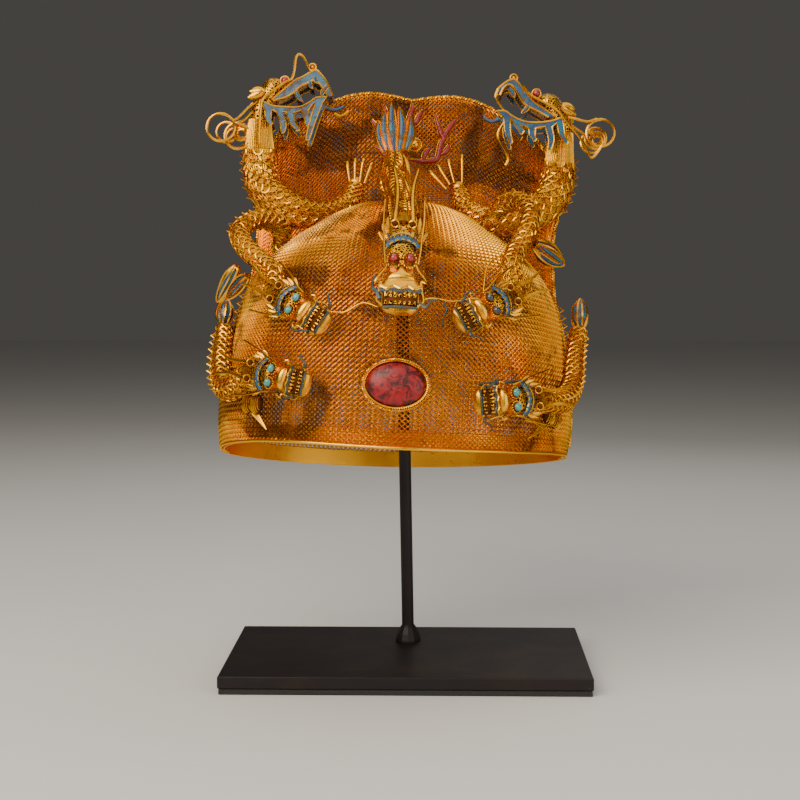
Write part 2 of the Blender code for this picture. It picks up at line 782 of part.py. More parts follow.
def front_stone(kit):
    """The oval cabochon on the front and the raised bezel that holds it."""
    place = dome_frame(STONE_AZIMUTH, STONE_SHARE, 0.0)
    a, b = STONE_LENGTH / 2, STONE_HEIGHT / 2
    inner_a, inner_b = a + GAP, b + GAP
    outer_a, outer_b = inner_a + BEZEL_WALL, inner_b + BEZEL_WALL
    floor = BEZEL_RISE / 3
    cup = [
        oval(outer_a, outer_b, -BEZEL_RISE),
        oval(outer_a, outer_b, 0.7 * BEZEL_RISE),
        oval(inner_a, inner_b, BEZEL_RISE),
        oval(inner_a, inner_b, floor),
    ]
    kit.seat(placed_loft("stone_bezel", cup, place, kit, kit.gold))
    swell = STONE_RISE - BEZEL_RISE
    stone = [oval(a, b, floor + GAP), oval(a, b, 0.9 * BEZEL_RISE)]
    for turn in (0.45, 1.05):
        width = math.cos(turn)
        stone.append(oval(a * width, b * width, BEZEL_RISE + swell * math.sin(turn)))
    placed_loft("front_stone", stone, place, kit, kit.stone, 60)


def boxy_ring(ahead, half_width, low, high, squareness=0.72):
    """Eight points round a soft-cornered box section of a head."""
    ring = []
    for k in range(8):
        turn = math.radians(45 * k + 22.5)
        y = math.copysign(abs(math.cos(turn)) ** squareness, math.cos(turn))
        z = math.copysign(abs(math.sin(turn)) ** squareness, math.sin(turn))
        middle, reach = (low + high) / 2, (high - low) / 2
        ring.append(Vector((ahead, half_width * y, middle + reach * z)))
    return ring


def horn_path(side, stretch):
    rows = [(HORN[0][0] + (x - HORN[0][0]) * stretch, side * y, z, r) for x, y, z, r in HORN]
    return smooth_path(rows, 1)


def front_head(name, place, length, stretch, kit):
    """A head on the dome: skull and open jaw with two horns, and sockets for the eyes."""
    skull = [boxy_ring(*row) for row in SKULL]
    jaw = [boxy_ring(*row) for row in JAW]
    head = placed_loft(name + "_head", skull, place, kit, kit.gold)
    parts = [placed_loft(name + "_jaw", jaw, place, kit, kit.gold)]
    for side, word in ((1, "near"), (-1, "far")):
        rows = horn_path(side, stretch)
        path = [place @ Vector(row[:3]) for row in rows]
        radii = [row[3] * length for row in rows]
        parts.append(tube(f"{name}_horn_{word}", path, radii, kit, kit.gold, 1))
    fuse(head, kit.cutters, *parts)
    for side, word in ((1, "left"), (-1, "right")):
        eye_at = place @ Vector((EYE_FORWARD, side * EYE_SIDE, EYE_TOP))
        radius = EYE_RADIUS * length / HEAD_LENGTH
        turned = Matrix.Translation(eye_at) @ place.to_3x3().normalized().to_4x4()
        socket = sphere(f"{name}_socket_{word}", radius + GAP, turned, kit, None)
        cut(head, helper(socket, kit.cutters))
        stone = kit.red if name == "centre" else kit.turquoise
        sphere(f"{name}_eye_{word}", radius, turned, kit, stone)
    return kit.seat(head)


def dome_path(rows, radius, steps=2):
    """Middle points and radii of a body that follows a table of places on the dome."""
    path, radii = [], []
    for azimuth, share, lift, thick in smooth_path(rows, steps):
        path.append(dome_point(azimuth, share, lift * radius))
        radii.append(thick * radius)
    return path, radii


def body_room(name, path, radii, sides_step, kit):
    """The room round a body, which its own tail or head is cut back from."""
    first = path[0] + (path[0] - path[1]).normalized() * GAP
    grown = [radius + GAP for radius in radii]
    room = tube(name + "_room", [first] + path[1:], grown, kit, None, sides_step)
    return helper(room, kit.cutters)


def front_body(name, rows, place, length, radius, kit):
    """A scaled body, from the tail to a flat end just behind the head."""
    path, radii = dome_path(rows, radius)
    neck = -SKULL[0][0] + GAP / length
    middle = (SKULL[0][2] + SKULL[0][3]) / 2
    inside = place.inverted()
    while (inside @ path[-1]).x > -neck - 0.3:
        path.pop()
        radii.pop()
    for back in (neck + 0.12, neck):
        path.append(place @ Vector((-back, 0, middle)))
        radii.append(SKULL[0][1] * length)
    kit.seat(tube(name + "_body", path, radii, kit, kit.gold, 1))
    return body_room(name, path, radii, 1, kit)


BLADE_SHAPE = ((0.0, 0.40), (0.38, 1.0), (0.80, 0.68), (1.0, 0.12))


def blade_rings(root, tip, side, thick, width, bow=0.0):
    """A leaf-shaped blade between two points, bowed sideways."""
    rings = []
    for share, wide in BLADE_SHAPE:
        middle = root.lerp(tip, share) + side * bow * math.sin(math.pi * share)
        across = side * width * wide / 2
        deep = thick * BLADE_THICKNESS / 2 * min(1.0, 0.4 + wide)
        rings.append([middle - across, middle - deep, middle + across, middle + deep])
    return rings


def tail_fin(name, radius, room, kit):
    """A fan of leaf-shaped blades springing from a knuckle at the body's tail."""
    start, end, count = TAILS[name]
    root = dome_point(start[0], start[1], start[2] * radius)
    tip = dome_point(end[0], end[1], end[2] * radius)
    axis = tip - root
    out = dome_normal(*start[:2]) if name != "centre" else Vector((0, -1, 0))
    side = axis.cross(out).normalized()
    thick = side.cross(axis).normalized()
    spin = Matrix((side, thick, axis.normalized())).transposed().to_4x4()
    spin.translation = root
    fin = sphere(name + "_tail", 0.85 * BLADE_WIDTH / 2 * math.sqrt(count), spin, kit, kit.blue)
    blades = []
    for k in range(count):
        off = k - (count - 1) / 2
        foot = root + side * off * BLADE_WIDTH * 0.45
        length = 1 - 0.13 * abs(off)
        point = root + axis * length + side * off * BLADE_WIDTH * 0.95
        rings = blade_rings(foot, point, side, thick, BLADE_WIDTH, off * BLADE_WIDTH * 0.12)
        blades.append(
            placed_loft(f"{name}_blade_{k}", rings, Matrix.Identity(4), kit, kit.blue)
        )
    fuse(fin, kit.cutters, *blades)
    cut(fin, room)
    return kit.seat(fin)


def front_dragons(kit):
    for name, (rows, azimuth, share, lift, heading, pitch) in FRONT_DRAGONS.items():
        centre = name == "centre"
        length = CENTRE_HEAD_LENGTH if centre else HEAD_LENGTH
        radius = CENTRE_BODY_RADIUS if centre else BODY_RADIUS
        place = dome_frame(azimuth, share, lift, heading, pitch, length)
        front_head(name, place, length, CENTRE_HORN_STRETCH if centre else 1.0, kit)
        room = front_body(name, rows, place, length, radius, kit)
        tail_fin(name, radius, room, kit)


def rear_body(name, side, claws, kit):
    """A scaled body along the edge of the hill's front, with a paw and straight claws."""
    path, radii = [], []
    for out, up, lift, thick in REAR_BODY:
        path.append(hill_front(-side * out, up, lift * REAR_BODY_RADIUS))
        radii.append(thick * REAR_BODY_RADIUS)
    body = tube(name + "_body", path, radii, kit, kit.gold)
    paw_at = hill_front(-side * REAR_PAW[0], REAR_PAW[1], 0.0)
    size = REAR_BODY[-1][3] * REAR_BODY_RADIUS
    parts = [sphere(name + "_paw", size, Matrix.Translation(paw_at), kit, kit.gold)]
    lift = CLAW_RADIUS + GAP
    for k, (out, up) in enumerate(claws):
        tip = hill_front(-side * out, up, lift)
        rod = [paw_at - Vector((0, lift, 0)), tip]
        parts.append(tube(f"{name}_claw_{k}", rod, [CLAW_RADIUS] * 2, kit, kit.gold, 1))
    fuse(body, kit.cutters, *parts)
    kit.seat(body)
    return body_room(name, path, radii, 2, kit)


def rear_ring(ahead, up, half_height, half_width):
    return boxy_ring(ahead, half_width, up - half_height, up + half_height, 0.8)


def rear_frame(side, out, up, forward, pitch):
    """Forward, sideways and upward axes of a hill head, scaled, from its jaw's hinge."""
    hinge = Vector((out * HILL_HALF_WIDTH, hill_size(up, 2) - forward, up * HILL_HEIGHT))
    ahead = Vector((-side, 0, 0))
    up_axis = Vector((0, 0, 1))
    place = Matrix((ahead, up_axis.cross(ahead), up_axis)).transposed().to_4x4()
    place = place @ Matrix.Rotation(-math.radians(pitch), 4, "Y")
    place = place @ Matrix.Scale(REAR_HEAD_LENGTH, 4)
    place.translation = hinge
    return place


def rear_head(name, side, place, room, kit):
    """A head in profile: raised upper jaw, hanging lower jaw and the neck below them."""
    wide = REAR_HEAD_WIDTH / REAR_HEAD_LENGTH
    skull = [rear_ring(x, z, high, half * wide) for x, z, high, half in REAR_SKULL]
    jaw = [rear_ring(x, z, high, half * wide) for x, z, high, half in REAR_JAW]
    head = placed_loft(name + "_head", skull, place, kit, kit.gold)
    parts = [placed_loft(name + "_jaw", jaw, place, kit, kit.gold)]
    radius = REAR_BODY[0][3] * REAR_BODY_RADIUS
    foot, below = (
        hill_front(-side * out, up, lift * REAR_BODY_RADIUS)
        for out, up, lift, thick in REAR_BODY[:2]
    )
    foot += (foot - below).normalized() * GAP / 2
    neck = [foot, place @ Vector(REAR_NECK_TOP)]
    parts.append(tube(name + "_neck", neck, [radius, 0.8 * radius], kit, kit.gold))
    fuse(head, kit.cutters, *parts)
    eye_at = place @ Vector((0.36, side * wide * 0.46, 0.44))
    turned = Matrix.Translation(eye_at)
    socket = sphere(name + "_socket", EYE_RADIUS + GAP, turned, kit, None)
    cut(head, helper(socket, kit.cutters), room)
    sphere(name + "_eye", EYE_RADIUS, turned, kit, kit.red)
    return kit.seat(head)


def rear_beard(name, side, place, kit):
    """The comb of blades that hangs under the lower jaw."""
    half = BEARD_THICKNESS / 2 / REAR_HEAD_LENGTH
    clear = GAP / REAR_HEAD_LENGTH
    plane = side * 0.30 * REAR_HEAD_WIDTH / REAR_HEAD_LENGTH
    rail = []
    for ahead, up, half_height, _ in REAR_JAW[1:]:
        top = up - half_height - clear
        rail.append(
            [
                Vector((ahead, plane - half, top - 0.05)),
                Vector((ahead, plane + half, top - 0.05)),
                Vector((ahead, plane + half, top)),
                Vector((ahead, plane - half, top)),
            ]
        )
    beard = placed_loft(name + "_beard", rail, place, kit, kit.blue)
    thick = Vector((0, 1, 0)) / REAR_HEAD_LENGTH * 0.8
    blades = []
    for k, (ahead, up, tip_ahead, tip_up) in enumerate(BEARD):
        root = Vector((ahead, plane, up - 0.06))
        tip = Vector((tip_ahead, plane, tip_up))
        rings = blade_rings(root, tip, Vector((1, 0, 0)), thick, BEARD_BLADE_WIDTH)
        blades.append(placed_loft(f"{name}_beard_{k}", rings, place, kit, kit.blue))
    fuse(beard, kit.cutters, *blades)
    return kit.seat(beard)


def curl_path(middle_x, middle_z, radius, root, plane):
    """A strand from the root that runs back and winds once and a bit round a ring."""
    start = math.atan2(root.z - middle_z, root.x - middle_x) - math.radians(60)
    points = [root]
    turns = 10
    for k in range(turns + 1):
        turn = start + 2 * math.pi * 1.1 * k / turns
        y = plane + (CURL_STEP / REAR_HEAD_LENGTH) * k / turns
        points.append(
            Vector((middle_x + radius * math.cos(turn), y, middle_z + radius * math.sin(turn)))
        )
    return points


def rear_mane(name, side, place, kit):
    """Two wire curls of the mane, soldered to one root behind the skull."""
    back = REAR_SKULL[0][0] - (2 * CURL_WIRE + GAP) / REAR_HEAD_LENGTH
    root = Vector((back, 0.0, REAR_SKULL[0][1]))
    mane = sphere(name + "_mane", 2 * CURL_WIRE, Matrix.Translation(place @ root), kit, kit.gold)
    strands = []
    for k, (x, z, radius) in enumerate(CURLS):
        plane = side * (k - 0.75) * 2.2 * CURL_STEP / REAR_HEAD_LENGTH
        path = [place @ point for point in curl_path(x, z, radius, root, plane)]
        strands.append(
            tube(f"{name}_curl_{k}", path, [CURL_WIRE] * len(path), kit, kit.gold, 1)
        )
    fuse(mane, kit.cutters, *strands)
    return kit.seat(mane)


def rear_dragons(kit):
    for side, (name, (out, up, forward, pitch, claws)) in zip((-1, 1), REAR_HEADS.items()):
        place = rear_frame(side, out, up, forward, pitch)
        room = rear_body(name, side, claws, kit)
        rear_head(name, side, place, room, kit)
        cut(rear_beard(name, side, place, kit), room)
        cut(rear_mane(name, side, place, kit), room)


def flame(name, branches, side, kit):
    """A branch of red enamel lying on the hill's front."""
    parts = []
    for k, branch in enumerate(branches):
        path = [hill_front(side * out, up, FLAME_RADIUS + FLAME_CLEAR) for out, up in branch]
        radii = [FLAME_RADIUS * (1.0 - 0.12 * i) for i in range(len(path))]
        label = name if k == 0 else f"{name}_branch_{k}"
        parts.append(tube(label, path, radii, kit, kit.red, 0))
    fuse(parts[0], kit.cutters, *parts[1:])
    return kit.seat(parts[0])


def pearl_and_flames(kit):
    at = hill_front(PEARL_AT[0], PEARL_AT[1], PEARL_RADIUS + GAP)
    kit.seat(sphere("pearl", PEARL_RADIUS, Matrix.Translation(at), kit, kit.gold, 8, 6))
    flame("flame_right", FLAME, 1, kit)
    flame("flame_left", FLAME, -1, kit)
    flame("flame_top", FLAME_TOP, 1, kit)


def box(name, width, depth, low, high, edge, material, kit):
    bm = bmesh.new()
    bmesh.ops.create_cube(bm, size=1.0)
    bmesh.ops.scale(bm, vec=(width, depth, high - low), verts=bm.verts)
    bmesh.ops.translate(bm, vec=(0, 0, (low + high) / 2), verts=bm.verts)
    obj = add_object(name, bm, material, kit.pieces)
    bevel = obj.modifiers.new("edge", "BEVEL")
    bevel.width = edge
    bevel.segments = 1
    return obj


def rod(name, diameter, start, end, sides, kit):
    """A round bar of steel between two points of the stand."""
    bm = bmesh.new()
    bmesh.ops.create_cone(
        bm,
        cap_ends=True,
        segments=sides,
        radius1=diameter / 2,
        radius2=diameter / 2,
        depth=(end - start).length,
    )
    turn = (end - start).to_track_quat("Z", "Y").to_matrix().to_4x4()
    place = Matrix.Translation((start + end) / 2) @ turn
    bmesh.ops.transform(bm, matrix=place, verts=bm.verts)
    return add_object(name, bm, kit.steel, kit.pieces)


def display_stand(kit):
    """A steel plate with a round post welded on, up to a plain rest inside the dome."""
    width, depth = PLATE_WIDTH - 2 * PAD_INSET, PLATE_DEPTH - 2 * PAD_INSET
    box("stand_pad", width, depth, 0.0, PAD_THICKNESS, PAD_INSET / 2, kit.rubber, kit)
    low = PAD_THICKNESS + GAP
    top = low + PLATE_THICKNESS
    stand = box("display_stand", PLATE_WIDTH, PLATE_DEPTH, low, top, PLATE_EDGE, kit.steel, kit)
    pose = Matrix.Translation(RIM_CENTRE) @ kit.crown.rotation_euler.to_matrix().to_4x4()
    foot = Vector((0, POST_BACK, top))
    lean = Vector((-math.tan(math.radians(POST_LEAN)), 0, 1)).normalized()
    rest = foot.copy()
    for _ in range(8):
        inside = pose.inverted() @ rest
        rest += lean * (dome_height(inside.x, inside.y) - WALL - GAP - inside.z)
    sunk, thick = foot - lean * PLATE_THICKNESS / 2, lean * SUPPORT_THICKNESS
    post = rod("post", POST_DIAMETER, sunk, rest - thick / 2, 14, kit)
    cap = rod("rest", SUPPORT_DIAMETER, rest - 2 * thick, rest + thick, 16, kit)
    under = dome_solid("rest_room", -WALL - GAP, kit)
    combine(cap, helper(under, kit.cutters), "INTERSECT")
    heights = ((-0.2, 1.0), (0.1, 1.0), (0.45, 0.88), (0.8, 0.62), (1.0, 0.40))
    bead = [(WELD_DIAMETER / 2 * wide, WELD_HEIGHT * z) for z, wide in heights]
    rings = [oval(radius, radius, z, 12) for radius, z in bead]
    weld = placed_loft("weld", rings, Matrix.Translation(foot), kit, kit.steel)
    weld.parent = None
    fuse(stand, kit.cutters, post, cap, weld)
    return stand


def main():
    clear_scene()
    kit = Kit()
    kit.dome_cutter = helper(dome_solid("dome_room", GAP, kit), kit.cutters)
    kit.hill_cutter = helper(hill_solid("hill_room", GAP, kit), kit.cutters)
    hill_edges(kit)
    front_dome(kit)
    back_hill(kit)
    rim_band(kit)
    front_stone(kit)
    front_dragons(kit)
    rear_dragons(kit)
    pearl_and_flames(kit)
    display_stand(kit)


main()
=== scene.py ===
"""The looks of a woven gold crown with seven dragons, held on a black steel stand."""

import json
import math

import bpy
import numpy as np
from bpy.props import FloatProperty, FloatVectorProperty, PointerProperty
from mathutils import Euler, Matrix, Vector

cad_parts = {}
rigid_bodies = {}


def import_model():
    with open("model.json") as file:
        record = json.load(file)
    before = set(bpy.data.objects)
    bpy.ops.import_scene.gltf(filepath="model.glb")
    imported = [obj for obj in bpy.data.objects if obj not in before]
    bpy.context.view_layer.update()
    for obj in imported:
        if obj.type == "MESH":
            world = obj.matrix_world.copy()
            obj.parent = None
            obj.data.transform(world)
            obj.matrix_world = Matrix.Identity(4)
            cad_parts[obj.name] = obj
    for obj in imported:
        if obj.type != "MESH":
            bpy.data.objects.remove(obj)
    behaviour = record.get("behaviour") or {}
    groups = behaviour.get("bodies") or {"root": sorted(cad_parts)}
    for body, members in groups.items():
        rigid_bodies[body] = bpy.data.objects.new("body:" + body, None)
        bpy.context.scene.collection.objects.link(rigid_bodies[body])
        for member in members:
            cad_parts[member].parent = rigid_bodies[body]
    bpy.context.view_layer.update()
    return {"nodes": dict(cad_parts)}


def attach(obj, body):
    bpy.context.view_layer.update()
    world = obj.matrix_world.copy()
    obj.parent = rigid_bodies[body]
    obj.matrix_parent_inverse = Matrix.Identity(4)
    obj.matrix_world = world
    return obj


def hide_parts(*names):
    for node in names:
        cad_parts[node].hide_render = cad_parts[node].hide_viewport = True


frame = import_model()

bl_info = {
    "name": "Gold Crown on a Stand",
    "version": (1, 0, 0),
    "blender": (4, 5, 0),
    "location": "View3D > Sidebar > Gold Crown",
    "description": "Weaves and dresses a gold-wire crown with dragons on its display stand",
    "category": "Add Mesh",
}

# The crown's own frame: its origin is at the middle of the rim
RIM_CENTRE = Vector((-0.0083, -0.002, 0.1246))
CROWN_TURN = Euler((-math.radians(9.15), math.radians(2.6), 0))
POSE = Matrix.Translation(RIM_CENTRE) @ CROWN_TURN.to_matrix().to_4x4()
MM = 0.001

HALF_WIDTH = 0.1000
HALF_DEPTH = 0.103
BACK_DEPTH = 0.094
DOME_HEIGHT = 0.149
HILL_HEIGHT = 0.2256
HILL_HALF_WIDTH = 0.0935
# The rim's bends: its rise at both sides, its twist, and a dent's rise, middle and spread
RIM_SIDE_RISE = 0.0031
RIM_TWIST = 0.0032
RIM_DENT = (0.0042, -44.0, 40.0)
# The height over which the bends fade out
WAVE_REACH = 0.035

# Dome: share of its height, share of the rim's half width
DOME_PROFILE = (
    (0.00, 1.000), (0.10, 1.014), (0.20, 1.014), (0.33, 1.000), (0.44, 0.970),
    (0.54, 0.933), (0.62, 0.893), (0.70, 0.832), (0.77, 0.745), (0.83, 0.640),
    (0.88, 0.535), (0.92, 0.450), (0.955, 0.355), (0.98, 0.245), (1.00, 0.000),
)

# Hill: share of its height, then its half width, the plane of its side seams,
# its depth behind that plane and its swell in front of it
HILL_SECTIONS = (
    (0.00, 1.083, 0.128, 0.973, 0.000),
    (0.13, 1.094, 0.140, 0.990, 0.000),
    (0.27, 1.075, 0.170, 0.980, 0.000),
    (0.36, 1.020, 0.200, 0.950, 0.000),
    (0.45, 0.966, 0.240, 0.900, 0.010),
    (0.61, 0.950, 0.340, 0.790, 0.060),
    (0.73, 1.000, 0.400, 0.680, 0.075),
    (0.80, 1.000, 0.435, 0.600, 0.075),
    (0.90, 1.000, 0.470, 0.480, 0.075),
    (1.00, 1.000, 0.490, 0.380, 0.075),
)

# Top line of the hill: share of the half width, share of the height
HILL_TOP = (
    (0.00, 0.984), (0.09, 0.992), (0.20, 0.999), (0.29, 1.000), (0.41, 0.991),
    (0.50, 0.977), (0.60, 0.957), (0.75, 0.920), (0.87, 0.873), (0.95, 0.820),
    (1.00, 0.755),
)
# Hollows in the hill's front: place across and up, reach across and up, depth
HILL_HOLLOW = (0.61, 0.790, 0.30, 0.24, 0.090)

# Bodies on the dome: azimuth, share of its height, lift and thickness in radii
BODIES = {
    "upper_left": (
        (-73.0, 0.765, -0.4, 0.80), (-71.0, 0.798, 0.9, 0.95), (-67.7, 0.799, 2.4, 1.00),
        (-65.1, 0.768, 4.1, 1.00), (-62.8, 0.725, 4.9, 1.00), (-59.8, 0.695, 4.8, 1.00),
        (-54.5, 0.665, 3.6, 1.00), (-49.0, 0.638, 1.9, 1.00), (-43.4, 0.602, 1.2, 1.00),
        (-38.5, 0.558, 1.2, 0.95),
    ),
    "upper_right": (
        (70.0, 0.885, -0.4, 0.80), (64.5, 0.888, 1.0, 0.95), (62.0, 0.882, 3.0, 1.00),
        (60.2, 0.846, 4.9, 1.00), (57.7, 0.805, 4.9, 1.00), (51.8, 0.765, 3.5, 1.00),
        (47.0, 0.728, 1.8, 1.00), (41.5, 0.677, 1.3, 1.00), (36.5, 0.600, 1.2, 0.95),
    ),
    "lower_left": (
        (-73.6, 0.450, 1.20, 0.85), (-71.6, 0.392, 0.98, 1.00), (-68.6, 0.317, 0.98, 1.10),
        (-64.6, 0.244, 1.00, 1.15), (-59.3, 0.205, 1.00, 1.20), (-53.0, 0.215, 0.98, 1.15),
        (-48.0, 0.240, 0.95, 1.00), (-44.5, 0.252, 0.95, 0.95),
    ),
    "lower_right": (
        (79.3, 0.503, 2.1, 0.85), (77.2, 0.437, 1.4, 1.00), (73.1, 0.358, 1.00, 1.10),
        (68.9, 0.283, 1.00, 1.15), (61.9, 0.227, 1.00, 1.20), (54.5, 0.206, 0.98, 1.10),
        (49.0, 0.205, 0.95, 1.00), (45.5, 0.203, 0.95, 0.95),
    ),
    "centre": (
        (-55.0, 0.996, 4.35, 0.80), (-30.4, 0.991, 3.1, 1.00), (-17.2, 0.984, 1.85, 1.10),
        (-7.0, 0.965, 1.02, 1.10), (-2.0, 0.915, 0.92, 1.00),
    ),
}
USUAL_RADIUS = 0.0050
BODY_RADIUS = {"centre": 0.0062}
# Heads on the dome: azimuth, share, lift, heading, pitch and length
HEADS = {
    "upper_left": (-33.7, 0.500, 0.0010, -27.0, 4.0, 0.0335),
    "upper_right": (32.0, 0.529, 0.0010, 206.0, 4.0, 0.0335),
    "lower_left": (-38.3, 0.246, 0.0004, -11.0, 4.0, 0.0335),
    "lower_right": (38.8, 0.200, 0.0004, 188.0, 4.0, 0.0335),
    "centre": (1.2, 0.698, 0.0022, -90.0, 1.0, 0.0370),
}
# Tails: root and tip as azimuth, share and lift in radii, width and petals
TAILS = {
    "upper_left": (
        ((-57.0, 0.612, 3.7), (-66.1, 0.514, 3.3), 0.0084, 6),
        ((-52.5, 0.590, 2.9), (-61.0, 0.520, 3.0), 0.0070, 5),
    ),
    "upper_right": (((54.7, 0.735, 3.0), (67.0, 0.690, 3.4), 0.0120, 8),),
    "lower_left": (((-73.9, 0.458, 1.4), (-75.8, 0.550, 1.9), 0.0100, 6),),
    "lower_right": (((79.6, 0.508, 2.2), (82.5, 0.603, 3.0), 0.0100, 6),),
}
# Leaves of the centre tail: root, middle and tip, across and up, in millimetres
CENTRE_LEAVES = (
    ((-8.6, 182.5), (-10.6, 198.8), (-11.6, 214.6), 5.2),
    ((-10.9, 182.6), (-15.0, 196.6), (-15.7, 208.7), 4.6),
    ((-14.0, 183.5), (-18.1, 193.7), (-18.8, 202.0), 3.8),
    ((-5.5, 183.6), (-4.2, 199.8), (-6.6, 210.8), 4.4),
    ((-1.5, 185.5), (1.0, 195.6), (0.3, 206.0), 4.4),
)

# Bodies of the two dragons on the hill, as in the solid: out, up, lift, thickness
REAR_BODY = (
    (-0.985, 0.905, 0.60, 0.72), (-0.985, 0.860, 0.45, 0.80), (-0.980, 0.810, 0.25, 0.95),
    (-0.965, 0.760, 0.15, 1.00), (-0.920, 0.712, 0.10, 1.00), (-0.820, 0.676, 0.10, 1.00),
    (-0.700, 0.656, 0.10, 0.95), (-0.570, 0.648, 0.10, 0.85), (-0.455, 0.658, 0.10, 0.72),
    (-0.375, 0.688, 0.10, 0.58), (-0.338, 0.735, 0.10, 0.46),
)
REAR_RADIUS = 0.0098
# Claws on the hill: root and tip across and up, in millimetres
CLAWS = {
    "rear_left": (
        ((-35.0, 166.5), (-37.9, 181.8)), ((-32.0, 167.5), (-32.9, 183.6)),
        ((-29.0, 167.5), (-27.6, 183.6)), ((-26.2, 166.8), (-22.2, 180.8)),
    ),
    "rear_right": (
        ((23.8, 165.3), (12.5, 177.0)), ((25.9, 168.3), (17.5, 181.0)),
        ((28.4, 169.9), (23.9, 185.2)), ((33.2, 170.3), (32.4, 189.0)),
    ),
}

# Red flames on the hill: across and up, in millimetres
FLAMES = {
    "flame_right": (
        ((0.6, 183.3), (4.2, 183.0), (8.5, 182.8), (14.6, 183.7), (17.3, 185.3), (18.3, 190.3),
         (19.2, 195.4), (20.8, 198.5), (19.0, 201.3), (17.4, 206.2), (15.7, 211.0), (14.6, 214.4)),
        ((20.7, 198.4), (22.7, 204.0), (27.9, 211.3)),
        ((8.9, 183.3), (10.1, 188.3), (12.8, 191.5)),
        ((18.6, 187.0), (22.8, 190.6), (24.1, 194.7)),
    ),
    "flame_left": (
        ((-0.6, 183.3), (-8.0, 183.6), (-14.0, 185.4), (-18.3, 189.8), (-21.5, 191.0)),
        ((-15.9, 187.7), (-19.5, 197.0), (-20.6, 203.4), (-24.2, 208.7)),
        ((-19.6, 198.0), (-17.0, 207.0), (-16.1, 213.5), (-16.6, 217.5)),
    ),
    "flame_top": (
        ((0.2, 220.6), (0.5, 216.2), (-0.8, 211.7), (-1.6, 207.7), (-2.0, 202.7)),
        ((-1.4, 209.0), (3.0, 207.9), (4.7, 212.0), (7.4, 216.6)),
    ),
}
PEARL_AT = (3.2, 193.4)


def through(rows, values, column=1):
    """A smooth curve through one column of a table, read at values of the first."""
    table = np.array(rows, float)
    x, y = table[:, 0], table[:, column]
    values = np.clip(np.asarray(values, float), x[0], x[-1])
    i = np.clip(np.searchsorted(x, values) - 1, 0, len(x) - 2)
    slope = np.empty(len(x))
    slope[1:-1] = (y[2:] - y[:-2]) / (x[2:] - x[:-2])
    slope[0] = (y[1] - y[0]) / (x[1] - x[0])
    slope[-1] = (y[-1] - y[-2]) / (x[-1] - x[-2])
    span = x[i + 1] - x[i]
    t = (values - x[i]) / span
    found = (1 - t) ** 2 * (1 + 2 * t) * y[i] + t * t * (3 - 2 * t) * y[i + 1]
    return found + span * (t * (1 - t) ** 2 * slope[i] - t * t * (1 - t) * slope[i + 1])


def smooth_rows(rows, steps):
    """Rows along a smooth curve through the given ones."""
    keyed = [(k, *row) for k, row in enumerate(rows)]
    at = np.linspace(0, len(rows) - 1, (len(rows) - 1) * steps + 1)
    return np.stack([through(keyed, at, c + 1) for c in range(len(rows[0]))], axis=-1)


def unit(vectors):
    return vectors / np.maximum(np.linalg.norm(vectors, axis=-1, keepdims=True), 1e-12)


def waved(points):
    """Places on the crown's wall, bent with the rim near the rim."""
    points = np.array(points, float)
    angle = np.arctan2(points[..., 0], -points[..., 1])
    rise, middle, spread = RIM_DENT
    off = (np.degrees(angle) - middle + 180) % 360 - 180
    wave = RIM_SIDE_RISE * np.sin(angle) ** 2 + RIM_TWIST * np.sin(angle)
    wave = wave + rise * np.exp(-((off / spread) ** 2))
    fade = np.clip(1 - np.maximum(points[..., 2], 0) / WAVE_REACH, 0, None)
    points[..., 2] += wave * fade * fade
    return points


def dome_skin(azimuth, share):
    radius = through(DOME_PROFILE, share)
    angle = np.radians(azimuth)
    depth = np.where(np.cos(angle) > 0, HALF_DEPTH, BACK_DEPTH)
    x = HALF_WIDTH * radius * np.sin(angle)
    y = -depth * radius * np.cos(angle)
    return np.stack([x, y, DOME_HEIGHT * share + 0 * x], axis=-1)


def dome_out(azimuth, share):
    share = np.clip(share, 1e-3, 1 - 2e-3)
    across = dome_skin(azimuth + 0.5, share) - dome_skin(azimuth - 0.5, share)
    up = dome_skin(azimuth, share + 1e-3) - dome_skin(azimuth, share - 1e-3)
    return unit(np.cross(across, up))


def dome_place(azimuth, share, lift):
    return dome_skin(azimuth, share) + lift * dome_out(azimuth, share)


def hill_size(share, column):
    return through(HILL_SECTIONS, share, column) * HILL_HALF_WIDTH


def hill_skin(u, v, front):
    """Places on the hill, u across from -1 to 1 and v up from 0 to 1."""
    u, v = np.clip(u, -1, 1), np.clip(v, 0, 1)
    share = v * through(HILL_TOP, np.abs(u))
    x = u * hill_size(share, 1)
    close = np.sqrt(np.clip(1 - v**6, 0, None))
    y = hill_size(share, 2)
    if front:
        out, up, reach_out, reach_up, depth = HILL_HOLLOW
        across = (np.abs(x) / HILL_HALF_WIDTH - out) / reach_out
        rise = (share - up) * HILL_HEIGHT / (reach_up * HILL_HALF_WIDTH)
        hollow = depth * HILL_HALF_WIDTH * np.exp(-(across**2) - rise**2)
        round_off = np.sqrt(np.clip(1 - np.abs(u) ** 6, 0, None)) * close
        y = y - (hill_size(share, 4) - hollow) * round_off
    else:
        y = y + hill_size(share, 3) * np.sqrt(np.clip(1 - u * u, 0, None)) * close
    return np.stack([x, y, share * HILL_HEIGHT], axis=-1)


def hill_front(x, z, lift):
    """The place on the hill's front at a distance across and up, lifted off it."""
    up = z / HILL_HEIGHT
    u = float(np.clip(x / hill_size(up, 1), -1, 1))
    v = min(float(up / through(HILL_TOP, abs(u))), 1.0)
    return Vector((x, float(hill_skin(u, v, True)[1]) - lift, z))


def settings():
    return bpy.context.scene.gold_crown


# Finishes


